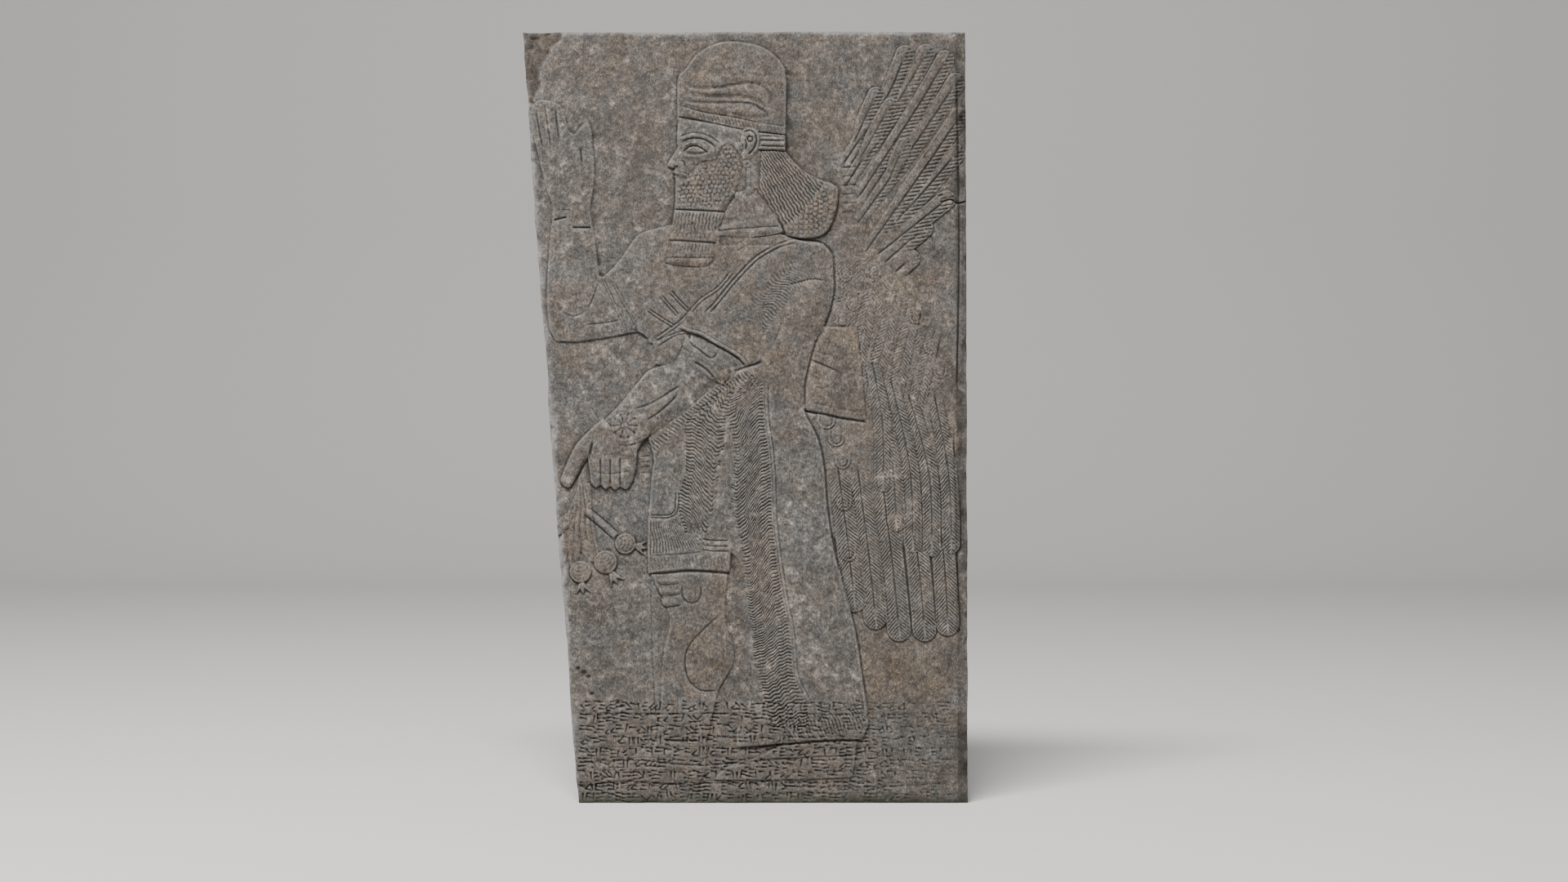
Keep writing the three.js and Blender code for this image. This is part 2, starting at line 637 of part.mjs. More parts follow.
// The branch that hangs from the lowered hand, with three pomegranates and a bud.
function branch() {
  const { branch: rise, fruit: fruitRise } = RISE;
  const stem = [
    ...curve([[-190, 410], [-198, 384], [-206, 350], [-214, 304]], 60),
    ...curve([[-200, 300], [-186, 340], [-170, 352], [-148, 334]], 50),
    ...curve([[-142, 346], [-168, 372], [-178, 410]], 60),
  ];
  const bud = curve([[-198, 380], [-214, 366], [-226, 350], [-212, 348], [-196, 364]], 30);
  const fruits = [
    { centre: [-135, 334], radius: 12.4, crown: [-114, 329] },
    { centre: [-159, 311], radius: 14, crown: [-147, 289] },
    { centre: [-190, 299], radius: 13, crown: [-187, 277] },
  ];
  const crowns = fruits.map(({ centre, crown, radius }) => {
    const axis = new THREE.Vector2(crown[0] - centre[0], crown[1] - centre[1]).normalize();
    const across = [-axis.y * radius * 0.7, axis.x * radius * 0.7];
    const outline = [
      between(centre, crown, 0.4),
      [crown[0] + axis.x * 2 + across[0], crown[1] + axis.y * 2 + across[1]],
      [crown[0] + axis.x * 2 - across[0], crown[1] + axis.y * 2 - across[1]],
    ];
    return plate(outline.map(place), rise + 1);
  });
  return {
    plates: [
      plate(stem, rise),
      plate(bud, rise),
      ...crowns,
      ...fruits.map(({ centre, radius }) => plate(circle(centre, radius, 10), fruitRise)),
    ],
    cuts: [
      stroke([-190, 384], [-206, 318], rise),
      stroke([-182, 376], [-190, 330], rise),
    ],
  };
}

// The lowered forearm in front of the body, with its armlet and rosette bracelet, and the fist.
function loweredArm() {
  const { loweredArm: rise, bracelet: braceletRise } = RISE;
  const arm = [
    ...curve([[-58, 594], [-66, 576], [-78, 557], [-105, 547], [-120, 531], [-145, 501], [-168, 480]]),
    ...corners([-150, 455], [-120, 448]),
    ...curve([[-112, 462], [-87, 479], [-64, 496], [-21, 533], [-1, 547], [14, 556]]),
    ...curve([[-8, 572], [-25, 581], [-45, 590]], 40),
  ];
  const fist = [
    ...curve([[-162, 488], [-194, 457], [-212, 419], [-213, 408], [-204, 403], [-197, 412], [-181, 440]], 18),
    ...curve([[-178, 420], [-176, 407], [-157, 400], [-133, 403], [-122, 426], [-120, 455]], 16),
  ];
  const bands = [[[-60, 590], [-24, 562]], [[-46, 566], [-8, 540]]];
  const bandPlates = bands.map(([a, b]) => {
    const slope = [4, 6];
    const ends = [a, b, [b[0] - slope[0], b[1] - 2 * slope[1]], [a[0] - slope[0], a[1] - 2 * slope[1]]];
    return plate(ends.map(place), rise + 2, rise);
  });
  const petals = shares(7).slice(0, 6).map((share) => {
    const angle = 2 * Math.PI * share;
    const reach = (radius) => [-135.5 + radius * Math.cos(angle), 479 + radius * Math.sin(angle)];
    return stroke(reach(5), reach(15), braceletRise);
  });
  return {
    plates: [
      plate(arm, rise),
      plate(fist, rise + 1),
      ...bandPlates,
      plate(circle([-135.5, 479], 17, 12), braceletRise, rise),
    ],
    cuts: [
      groove(curve([[-127, 498], [-102, 507], [-79, 521], [-62, 531]]), rise, BOLD_LINE),
      groove(curve([[-114, 483], [-94, 495], [-76, 511], [-66, 524]]), rise, BOLD_LINE),
      ...[-165, -153, -141].map((column) => stroke([column, 438], [column + 2, 404], rise + 1, BOLD_LINE)),
      groove(curve([[-178, 424], [-155, 420], [-128, 424]], 30), rise + 1),
      stroke([-176, 441], [-172, 462], rise + 1, BOLD_LINE),
      ...petals,
    ],
  };
}

// The edge of the shawl, which lies over the top of the lowered arm.
function shawlEdge() {
  const outline = [
    ...curve([[-68, 604], [-57, 593], [-25, 581], [-7, 571], [12, 553], [35, 558]]),
    ...corners([38, 572], [8, 590], [-30, 607]),
  ];
  return { plates: [plate(outline, RISE.shawlEdge, RISE.torso)] };
}

// Rows of wedge strokes across the shins. They follow a plain pattern of upright, level and slanting
// cuts, and spell nothing. Each is cut into the surface under its middle: the leg, the robe or the
// ground. Where that would cut across an edge of the feet, the leg or the robe there is none.
const ROWS = { count: 6, top: 130, pitch: 16, left: -180, right: 258, step: 25, shift: 5 };
const TURNS = [90, 0, 90, 35, 90, 0];
const WEDGE_HEAD = 0.2; // the share of its length at which a wedge is broadest and deepest
function surfaceAt([column, row]) {
  if (row > 96 && column > -86 && column < -34) return RISE.leg;
  if (row > 104 && column > 14 && column < 152) return RISE.robe;
  const onFigure = row > 84 ? column > -104 && column < 176 : column > -204 && column < 158;
  return onFigure ? null : 0;
}

function wedges() {
  const half = WEDGE.length / MODULE / 2;
  const cuts = [];
  for (let line = 0; line < ROWS.count; line += 1) {
    const row = ROWS.top - line * ROWS.pitch;
    for (let column = ROWS.left + ROWS.shift * (line % 2); column < ROWS.right; column += ROWS.step) {
      const rise = surfaceAt([column, row]);
      const angle = THREE.MathUtils.degToRad(TURNS[(cuts.length + line) % TURNS.length]);
      const end = (side) => [column + side * half * Math.cos(angle), row + side * half * Math.sin(angle)];
      if (rise !== null) cuts.push(stroke(end(1), end(-1), rise, WEDGE, WEDGE_HEAD));
    }
  }
  return cuts;
}

// The corner at the top left is broken away in front, and small chips are gone from the edges. These
// cutting blocks reach past the stone on its open sides.
const CORNER_BREAK = { width: 118, height: 208, depth: 24 };
const CHIP = { count: 7, width: 46, depth: 16 };
const PAST_STONE = 30;
const PAST_CORNER = 50;
function breaks() {
  const { width, height, depth } = CORNER_BREAK;
  const outline = [
    new THREE.Vector2(LEFT - PAST_CORNER, TOP + PAST_CORNER),
    new THREE.Vector2(LEFT - PAST_CORNER, TOP - height * 1.15),
    new THREE.Vector2(LEFT + width * 0.3, TOP - height),
    new THREE.Vector2(LEFT + width * 0.42, TOP - height * 0.55),
    new THREE.Vector2(LEFT + width, TOP - height * 0.12),
    new THREE.Vector2(LEFT + width * 1.1, TOP + PAST_CORNER),
  ];
  const corner = block(outline, GROUND_THICKNESS - depth, GROUND_THICKNESS + PAST_STONE);
  const chips = shares(CHIP.count).map((share, i) => {
    const z = FOOT + SLAB_HEIGHT * (0.06 + 0.74 * share);
    const x = LEFT + (FOOT_LEFT_INSET * (TOP - z)) / SLAB_HEIGHT;
    const reach = CHIP.depth * (0.7 + 0.5 * Math.sin(2.1 * i));
    const length = CHIP.width * (1 + 0.5 * Math.cos(1.7 * i));
    const chip = [
      [-PAST_STONE, -length],
      [reach, -length * 0.2],
      [reach * 0.8, length * 0.3],
      [-PAST_STONE, length],
    ];
    return block(
      chip.map(([dx, dz]) => new THREE.Vector2(x + dx, z + dz)),
      GROUND_THICKNESS - CHIP.depth,
      GROUND_THICKNESS + PAST_STONE,
    );
  });
  return [corner, ...chips];
}

// The stone, from the lowest relief to the highest, so that what lies in front covers what is behind.
function reliefSlab() {
  const ground = block(slabOutline(), 0, GROUND_THICKNESS);
  const highest = Math.max(...Object.values(RISE)) + PAST_STONE;
  const parts = [upperWing(), lowerWing(), branch(), rearFoot(), raisedArm(), leg(), elbowPanel(), robe(),
    skirt(), torso(), neck(), hair(), head(), beard(), cap(), loweredArm(), shawlEdge()];
  const carved = parts.reduce(carve, ground);
  const trimmed = carved.intersect(block(slabOutline(), 0, GROUND_THICKNESS + highest));
  return [...wedges(), ...breaks()].reduce((whole, cut) => whole.subtract(cut), trimmed);
}

function meshOf(stone, name) {
  const { vertProperties, triVerts } = stone.getMesh();
  const geometry = new THREE.BufferGeometry();
  geometry.setAttribute('position', new THREE.BufferAttribute(vertProperties, 3));
  geometry.setIndex(new THREE.BufferAttribute(triVerts, 1));
  const mesh = new THREE.Mesh(geometry, STONE);
  mesh.name = name;
  return mesh;
}

const panel = new THREE.Group();
panel.add(meshOf(reliefSlab(), 'relief_slab'));

export default panel;
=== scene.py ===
"""Stone relief panel: an upright slab of gypsum stone, carved in low relief with a winged, bearded figure
in a horned cap. The figure walks to the left, lifts one hand and lowers the other, which holds a branch
of pomegranates. Rows of wedge strokes run across the shins.

The carved face is a surface of heights over a grid of modules, worked out part by part: what lies in
front is laid over what is behind it, as the carver left it. Metres, +Z up, back face at y = 0."""

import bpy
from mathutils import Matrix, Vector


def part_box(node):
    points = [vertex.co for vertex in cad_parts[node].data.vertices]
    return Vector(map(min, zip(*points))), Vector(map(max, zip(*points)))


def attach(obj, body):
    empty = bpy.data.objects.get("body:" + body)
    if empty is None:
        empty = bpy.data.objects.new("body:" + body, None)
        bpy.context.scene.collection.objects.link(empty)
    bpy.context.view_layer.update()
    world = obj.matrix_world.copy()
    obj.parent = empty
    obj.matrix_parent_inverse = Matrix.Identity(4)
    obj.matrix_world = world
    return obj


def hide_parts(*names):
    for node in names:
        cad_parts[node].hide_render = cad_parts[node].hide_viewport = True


bl_info = {
    "name": "Stone Relief Panel",
    "version": (1, 0, 0),
    "blender": (4, 5, 0),
    "location": "View3D > Sidebar > Relief",
    "description": "An upright gypsum slab carved in low relief with a winged figure",
    "category": "Object",
}

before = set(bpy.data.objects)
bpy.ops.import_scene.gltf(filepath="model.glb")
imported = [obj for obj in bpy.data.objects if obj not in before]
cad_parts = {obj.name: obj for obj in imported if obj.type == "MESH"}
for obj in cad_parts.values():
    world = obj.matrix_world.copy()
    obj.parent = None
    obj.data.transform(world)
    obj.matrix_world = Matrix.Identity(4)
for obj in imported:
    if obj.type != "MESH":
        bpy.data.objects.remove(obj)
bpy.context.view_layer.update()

import math

import bpy
import numpy as np
from mathutils import Vector

LOW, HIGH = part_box("relief_slab")

# The grid of modules: columns count from the figure's plumb line, rows from a little below the foot
SLAB_ROWS = 948.2
FOOT_ROW = 15.04
TOP_ROW = FOOT_ROW + SLAB_ROWS
MODULE = (HIGH.z - LOW.z) / SLAB_ROWS
FIGURE_LEFT_OF_CENTRE = 0.028
FOOT_LEFT_INSET = 0.162
TOP_RIGHT_INSET = 0.009
MM = 0.001


def column_of(x):
    return (x + FIGURE_LEFT_OF_CENTRE) / MODULE


TOP_LEFT = column_of(LOW.x)
FOOT_LEFT = column_of(LOW.x + FOOT_LEFT_INSET)
TOP_RIGHT = column_of(HIGH.x - TOP_RIGHT_INSET)
FOOT_RIGHT = column_of(HIGH.x)

# How far each part stands proud of the ground, in millimetres
RISE = {
    "upper wing": 5, "lower wing": 6, "branch": 5, "fruit": 9, "raised arm": 9, "rear foot": 5, "leg": 6,
    "robe": 9, "skirt": 7, "torso": 9, "neck": 7, "hair": 13, "head": 11, "cap": 11, "beard": 14,
    "lowered arm": 14, "bracelet": 16.5, "shawl edge": 15,
}
HIGHEST = 18.5
CUT_STRENGTH = 1.8  # every cut is this much deeper than its stated depth
CUT_BREADTH = 1.15

# The raster on which the heights are worked out, in modules
SPACING = 0.8
MARGIN = 9
SEED = 7


class PanelSizes(bpy.types.PropertyGroup):
    """Sizes of the slab and its carving."""

    ground_thickness: bpy.props.FloatProperty(
        name="Ground thickness", description="From the sawn back to the ground of the relief",
        default=0.110, subtype="DISTANCE", unit="LENGTH")
    relief: bpy.props.FloatProperty(
        name="Relief", description="Strength of the carving, 1 as carved", default=1.0, min=0.1, max=1.0,
        subtype="FACTOR")
    wear: bpy.props.FloatProperty(
        name="Wear", description="How far the carving is worn soft", default=1.0, min=0.0, max=2.0,
        subtype="FACTOR")
    faces: bpy.props.IntProperty(
        name="Faces", description="Triangles that are kept on the finished panel", default=192000,
        subtype="UNSIGNED")
    grid_rows: bpy.props.IntProperty(
        name="Grid rows", description="Rows of the fine grid before it is thinned", default=1110,
        subtype="UNSIGNED")


class StoneColours(bpy.types.PropertyGroup):
    """Colours of the stone and its grime; the dark and pale ones also paint shade and highlight."""

    grey: bpy.props.FloatVectorProperty(
        name="Grey", description="Cool grey of the bare stone", default=(0.086, 0.084, 0.082),
        subtype="COLOR", size=3)
    tan: bpy.props.FloatVectorProperty(
        name="Tan", description="Warm brown patina", default=(0.103, 0.079, 0.059), subtype="COLOR",
        size=3)
    # The pale colour also paints highlight on raised tops, mixed with real wear.
    pale: bpy.props.FloatVectorProperty(
        name="Pale", description="Whitish crystals and fresh edges", default=(0.28, 0.275, 0.27),
        subtype="COLOR", size=3)
    # Dark colour of grime and specks, and also painted shade in the cuts, the broken corner and along the
    # top.
    grime_and_shade: bpy.props.FloatVectorProperty(
        name="Dirt", description="Dark dirt in the cuts", default=(0.016, 0.013, 0.010),
        subtype="COLOR", size=3)
    foot: bpy.props.FloatVectorProperty(
        name="Foot", description="Greenish damp stain along the foot", default=(0.030, 0.032, 0.021),
        subtype="COLOR", size=3)


class StageSettings(bpy.types.PropertyGroup):
    """The floor, the lights and the camera."""

    floor: bpy.props.FloatVectorProperty(
        name="Floor", description="Pale floor", default=(0.62, 0.61, 0.59), subtype="COLOR", size=3)
    key: bpy.props.FloatProperty(
        name="Key light", description="Watts of the lamp above the face", default=2300.0, unit="POWER")
    fill: bpy.props.FloatProperty(
        name="Fill light", description="Strength of the sky", default=0.32, subtype="FACTOR")
    distance: bpy.props.FloatProperty(
        name="Camera distance", description="From the carved face", default=6.0, subtype="DISTANCE",
        unit="LENGTH")


# Curves and measures in modules

def ease(value):
    """Smooth step: 3 t^2 - 2 t^3 with t held between 0 and 1."""
    t = np.clip(value, 0, 1)
    return t * t * (3 - 2 * t)


def spaced(points, step):
    """Points along a polyline at even steps of its length."""
    points = np.asarray(points, float)
    travelled = np.concatenate([[0], np.cumsum(np.hypot(*np.diff(points, axis=0).T))])
    count = max(2, int(round(travelled[-1] / step)) + 1)
    at = np.linspace(0, travelled[-1], count)
    return np.stack([np.interp(at, travelled, points[:, i]) for i in (0, 1)], axis=1)


def smooth(points, step=5.0):
    """A curve through points: on each side the cubic with slopes (next - previous) / 2."""
    p = np.asarray(points, float)
    if len(p) == 2:
        return spaced(p, step)
    p = np.vstack([p[0], p, p[-1]])
    t = np.linspace(0, 1, 9)[:-1, None, None]
    a, b, c, d = p[:-3], p[1:-2], p[2:-1], p[3:]
    second, third = 2 * a - 5 * b + 4 * c - d, 3 * b - a - 3 * c + d
    curve = 0.5 * (2 * b + (c - a) * t + second * t**2 + third * t**3)
    return spaced(np.vstack([curve.transpose(1, 0, 2).reshape(-1, 2), p[-1]]), step)


def joined(*stretches):
    return np.vstack([np.asarray(s, float) for s in stretches])


def ring(centre, radius, flatness=1.0, sides=28):
    """Points centre + radius (cos a, flatness sin a)."""
    angle = np.linspace(0, 2 * math.pi, sides, endpoint=False)
    return np.stack([centre[0] + radius * np.cos(angle), centre[1] + radius * flatness * np.sin(angle)], 1)


def shifted(path, by):
    """A path moved sideways, to the left of its direction, by some modules."""
    path = np.asarray(path, float)
    slope = np.gradient(path, axis=0)
    slope /= np.maximum(np.hypot(slope[:, 0], slope[:, 1]), 1e-6)[:, None]
    return path + by * np.stack([-slope[:, 1], slope[:, 0]], axis=1)


def inside(outline, column, row):
    """Depth inside a closed outline: the distance to its nearest side, negative outside it."""
    corners = np.asarray(outline, np.float32)
    nearest = np.full(column.shape, 1e9, np.float32)
    odd = np.zeros(column.shape, bool)
    for (ax, ay), (bx, by) in zip(corners, np.roll(corners, -1, axis=0)):
        dx, dy = bx - ax, by - ay
        square = dx * dx + dy * dy
        if square < 1e-9:
            continue
        share = np.clip(((column - ax) * dx + (row - ay) * dy) / square, 0, 1)
        nearest = np.minimum(nearest, (column - ax - share * dx) ** 2 + (row - ay - share * dy) ** 2)
        if dy:
            odd ^= ((ay > row) != (by > row)) & (column < ax + (row - ay) * (dx / dy))
    depth = np.sqrt(nearest)
    return np.where(odd, depth, -depth)


def beside(path, column, row):
    """For each cell the way along a path to its nearest point, the distance aside from it, positive on the
    left, and the path's length. Beyond the two ends the way along goes on, straight ahead."""
    path = np.asarray(path, np.float32)
    best = np.full(column.shape, 1e9, np.float32)
    along, aside = np.zeros_like(best), np.zeros_like(best)
    travelled = 0.0
    last = len(path) - 2
    for number, ((ax, ay), (bx, by)) in enumerate(zip(path[:-1], path[1:])):
        dx, dy = bx - ax, by - ay
        length = math.hypot(dx, dy)
        dx, dy = dx / length, dy / length
        ahead = (column - ax) * dx + (row - ay) * dy
        held = np.clip(ahead, 0, length)
        way = np.clip(ahead, 0 if number else -np.inf, np.inf if number == last else length)
        gap = (column - ax - held * dx) ** 2 + (row - ay - held * dy) ** 2
        closer = gap < best
        side = np.where(dx * (row - ay) - dy * (column - ax) < 0, -1, 1)
        best = np.where(closer, gap, best)
        along = np.where(closer, travelled + way, along)
        aside = np.where(closer, side * np.sqrt(gap), aside)
        travelled += length
    return along, aside, travelled


def rough(shape, cell, rng):
    """Value noise of about -1 to 1: random numbers on a lattice, joined by smooth steps."""
    steps = [np.arange(n) / cell for n in shape]
    whole = [s.astype(int) for s in steps]
    part = [ease(s - w).astype(np.float32) for s, w in zip(steps, whole)]
    lattice = rng.uniform(-1, 1, (whole[0][-1] + 2, whole[1][-1] + 2)).astype(np.float32)
    up = part[0][:, None]
    lines = lattice[whole[0]] * (1 - up) + lattice[whole[0] + 1] * up
    return lines[:, whole[1]] * (1 - part[1]) + lines[:, whole[1] + 1] * part[1]


def blurred(values, radius, passes=2):
    """Running means over 2 radius + 1 cells each way."""
    out = values.astype(np.float64)
    for _ in range(passes):
        for axis in (0, 1):
            wide = [(0, 0), (0, 0)]
            wide[axis] = (radius + 1, radius)
            total = np.cumsum(np.pad(out, wide, mode="edge"), axis=axis)
            width = 2 * radius + 1
            if axis == 0:
                out = (total[width:] - total[:-width]) / width
            else:
                out = (total[:, width:] - total[:, :-width]) / width
    return out.astype(np.float32)


def strands(phase, depth, sharp=0.55):
    """Rounded strands with narrow cuts between them: -depth (1 - |sin(pi phase)|^sharp)."""
    return -depth * 0.85 * CUT_STRENGTH * (1 - np.abs(np.sin(math.pi * phase)) ** sharp)


def drop(share):
    """An S from 0 to 1 that starts and ends flat."""
    return share - 0.8 * np.sin(2 * math.pi * share) / (2 * math.pi)


def line_at(value, at, width, depth):
    """A soft groove where a value equals `at`: -depth e^-((value - at) / width)^2."""
    return -depth * CUT_STRENGTH * np.exp(-(((value - at) / (CUT_BREADTH * width)) ** 2))


class Relief:
    """The carved face: heights in millimetres above the ground, and the warmth and paleness of the stone,
    on a raster that is spaced in modules."""

    def __init__(self):
        self.columns = np.arange(TOP_LEFT - 4, FOOT_RIGHT + 4, SPACING, dtype=np.float32)
        self.rows = np.arange(FOOT_ROW - 4, TOP_ROW + 4, SPACING, dtype=np.float32)
        shape = (self.rows.size, self.columns.size)
        self.height = np.zeros(shape, np.float32)
        self.warmth = np.full(shape, 0.42, np.float32)
        self.pale = np.full(shape, 0.30, np.float32)
        self.worn = np.full(shape, 0.03, np.float32)
        self.rng = np.random.default_rng(SEED)

    def window(self, points, margin=MARGIN):
        """The slices of the raster round some points, with the column and row of each of its cells."""
        points = np.asarray(points)
        low, high = points.min(axis=0) - margin, points.max(axis=0) + margin
        across = slice(*np.searchsorted(self.columns, (low[0], high[0])))
        up = slice(*np.searchsorted(self.rows, (low[1], high[1])))
        return (up, across), *np.meshgrid(self.columns[across], self.rows[up])

    def noise(self, part, cell):
        """Value noise over a window, in cells of some modules."""
        shape = self.height[part].shape
        return rough(shape, cell / SPACING, self.rng)

    def lay(self, outline, rise, detail=None, crown=0.25, reach=9.0, edge=1.5, moat=1.1, tone=None):
        """Covers what lies under an outline with a surface `rise` above the ground. Its height is rise
        (1 - crown e^(-depth / reach)) plus the detail. A narrow cut runs round it outside, and is deepest
        along its underside, where the depth grows upward."""
        part, column, row = self.window(outline)
        depth = inside(outline, column, row)
        cover = ease(depth / edge + 0.5)
        top = rise * (1 - crown * np.exp(-np.maximum(depth, 0) / reach))
        if detail is not None:
            top = top + detail(column, row, depth)
        upward = np.clip(np.gradient(depth, SPACING, axis=0), 0, 1)
        trench = moat * (0.2 + 0.8 * upward) * np.exp(-((np.minimum(depth, 0) / 1.6) ** 2)) * (depth <= 0)
        self.height[part] = (self.height[part] - trench) * (1 - cover) + top * cover
        if tone is not None:
            self.tint(part, cover, *tone)

    def tint(self, part, cover, warmth, pale):
        """Blends the stone's warmth and paleness towards new ones."""
        self.warmth[part] += cover * (warmth - self.warmth[part])
        self.pale[part] += cover * (pale - self.pale[part])

    def patch(self, centre, radii, warmth=None, pale=None, worn=None, strength=0.8):
        """A soft spot of another tone or more wear: its weight falls off from the middle as e^-r^2."""
        part, column, row = self.window([centre], 1.8 * max(radii))
        square = ((column - centre[0]) / radii[0]) ** 2 + ((row - centre[1]) / radii[1]) ** 2
        weight = strength * np.exp(-square * (1 + 0.45 * self.noise(part, 0.35 * min(radii))))
        if warmth is not None:
            self.warmth[part] += weight * (warmth - self.warmth[part])
        if pale is not None:
            self.pale[part] += weight * (pale - self.pale[part])
        if worn is not None:
            self.worn[part] += weight * (worn - self.worn[part])

    def emboss(self, outline, detail, fade=3.0):
        """Adds a pattern to the surface inside an outline, run in over some modules from its edge."""
        part, column, row = self.window(outline, 1)
        depth = inside(outline, column, row)
        self.height[part] += detail(column, row, depth) * ease(depth / fade)

    def cut(self, path, width=2.4, depth=1.6, ends=6.0):
        """A groove along a path: depth (1 - (2 aside / width)^2), run out at both ends. With a negative
        depth it is a raised cord."""
        part, column, row = self.window(path, width + 2)
        along, aside, length = beside(path, column, row)
        run_out = ease((along + 0.6) / ends) * ease((length - along + 0.6) / ends) if ends else 1.0
        profile = np.clip(1 - (2 * aside / (CUT_BREADTH * width)) ** 2, 0, 1)
        self.height[part] -= depth * CUT_STRENGTH * run_out * profile

    def cuts(self, paths, width=2.4, depth=1.6, ends=6.0):
        for path in paths:
            self.cut(smooth(path), width, depth, ends)

    def twin(self, path, gap=3.0, width=2.0, depth=1.1, ends=6.0):
        """Two grooves side by side, as on a hem."""
        for by in (-gap / 2, gap / 2):
            self.cut(shifted(smooth(path), by), width, depth, ends)

    def drape(self, contour, rise, fall, spread, moat=2.2):
        """Cloth that ends in a contour drawn from left to right: above it the surface is at least rise -
        fall * smooth step(aside / spread), and below it runs a cut."""
        part, column, row = self.window(contour, spread + 2)
        along, aside, length = beside(contour, column, row)
        ends = ease((along + 1) / 9) * ease((length - along + 1) / 9)
        surface = rise - fall * ease(aside / spread)
        lifted = np.maximum(self.height[part], self.height[part] + (surface - self.height[part]) * ends)
        cover = ease(aside / 1.4 + 0.5)
        self.height[part] += cover * (lifted - self.height[part])
        self.height[part] -= moat * ends * np.exp(-((aside / 1.7) ** 2)) * (aside <= 0)

    def scale_tip(self, centre, radius, rise=1.8, hooked=True):
        """The round tip of a short feather, which grows out of the surface above it: a half disc under a
        strip, with a double rim and a small curl."""
        part, column, row = self.window([centre], 3.2 * radius)
        x, y = column - centre[0], row - centre[1]
        depth = radius - np.hypot(x, np.minimum(y, 0))
        grown = 1 - ease(y / (2.2 * radius))
        cover = ease(depth / 1.2 + 0.5) * grown
        self.height[part] += rise * cover + line_at(depth, 3.0, 0.9, 1.0) * cover
        below = np.exp(-((np.minimum(depth, 0) / 1.5) ** 2)) * (depth <= 0)
        self.height[part] -= 1.5 * below * ease((0.4 * radius - y) / radius)
        if hooked:
            self.curl((centre[0] + 0.12 * radius, centre[1] - 0.1 * radius), 0.5 * radius, 0.8, 1.0, 1.0)

    def curl(self, centre, radius, rise=1.5, groove=1.1, turns=1.7, hand=1):
        """A snail curl: a dome rise (1 - (r / radius)^2) under a groove where turns r / radius plus hand
        angle / 2 pi is a whole number, in a trench round its foot."""
        part, column, row = self.window([centre], radius + 2)
        x, y = column - centre[0], row - centre[1]
        r = np.hypot(x, y) / radius
        spiral = turns * r + hand * np.arctan2(y, x) / (2 * math.pi)
        dome = np.clip(1 - r**2, 0, 1)
        foot = 1.2 * np.exp(-(((r - 1.05) / 0.16) ** 2))
        groove = groove * CUT_STRENGTH
        lines = 1 - np.abs(np.sin(math.pi * spiral)) ** 0.6
        self.height[part] += rise * dome - groove * ease(dome * 4) * lines
        self.height[part] -= foot

    def wedge(self, centre, angle, length, width, depth):
        """One chisel stroke, broadest and deepest near its head and run out at its tail."""
        part, column, row = self.window([centre], length)
        x, y = column - centre[0], row - centre[1]
        along = (x * math.cos(angle) + y * math.sin(angle)) / length + 0.5
        aside = np.abs(-x * math.sin(angle) + y * math.cos(angle))
        spread = width * (1 - 0.72 * np.clip(along, 0, 1)) / 2
        ends = ease((along + 0.02) * 7) * ease((1.02 - along) * 5)
        across = np.clip(1 - aside / spread, 0, 1)
        self.height[part] -= depth * ends * (1 - 0.55 * along.clip(0, 1)) * across


# The wings

FEATHER_TONE = (0.52, 0.32)


def feather(stone, shaft, rise, root_width, tip_width, barbs, shaft_depth=1.7, edge_line=True,
            tone=FEATHER_TONE):
    """A long feather about its shaft: it is laid where the distance aside is under half its width, which
    swells from root to tip, so that its end is round. The barbs are a pattern of the way along and
    aside."""
    end = np.asarray(shaft[-1], float)
    before = np.asarray(shaft[-2], float)
    back = (before - end) / np.hypot(*(before - end))
    path = smooth([*shaft[:-1], end + back * tip_width / 2])
    part, column, row = stone.window(path, tip_width)
    along, aside, length = beside(path, column, row)
    half = (root_width + (tip_width - root_width) * ease(along / length * 1.6)) / 2
    depth = half - np.abs(aside)
    cover = ease(depth / 1.3 + 0.5) * ease(along / 26)
    past = np.maximum(along - length, 0)
    across = np.sign(aside) * np.sqrt(np.maximum(aside**2 - past**2, 0))
    surface = rise * (1 - 0.12 * np.exp(-np.maximum(depth, 0) / 3)) + barbs(column, row, along, across)
    if edge_line:
        surface = surface + line_at(depth, 2.6, 0.9, 0.8) * ease((along - 0.6 * length) / 20)
    trench = 1.3 * np.exp(-((np.minimum(depth, 0) / 1.4) ** 2)) * (depth <= 0) * ease(along / 30)
    stone.height[part] = (stone.height[part] - trench) * (1 - cover) + surface * cover
    stone.tint(part, cover, *tone)
    stone.cut(path[:-1], 2.6, shaft_depth, 10)


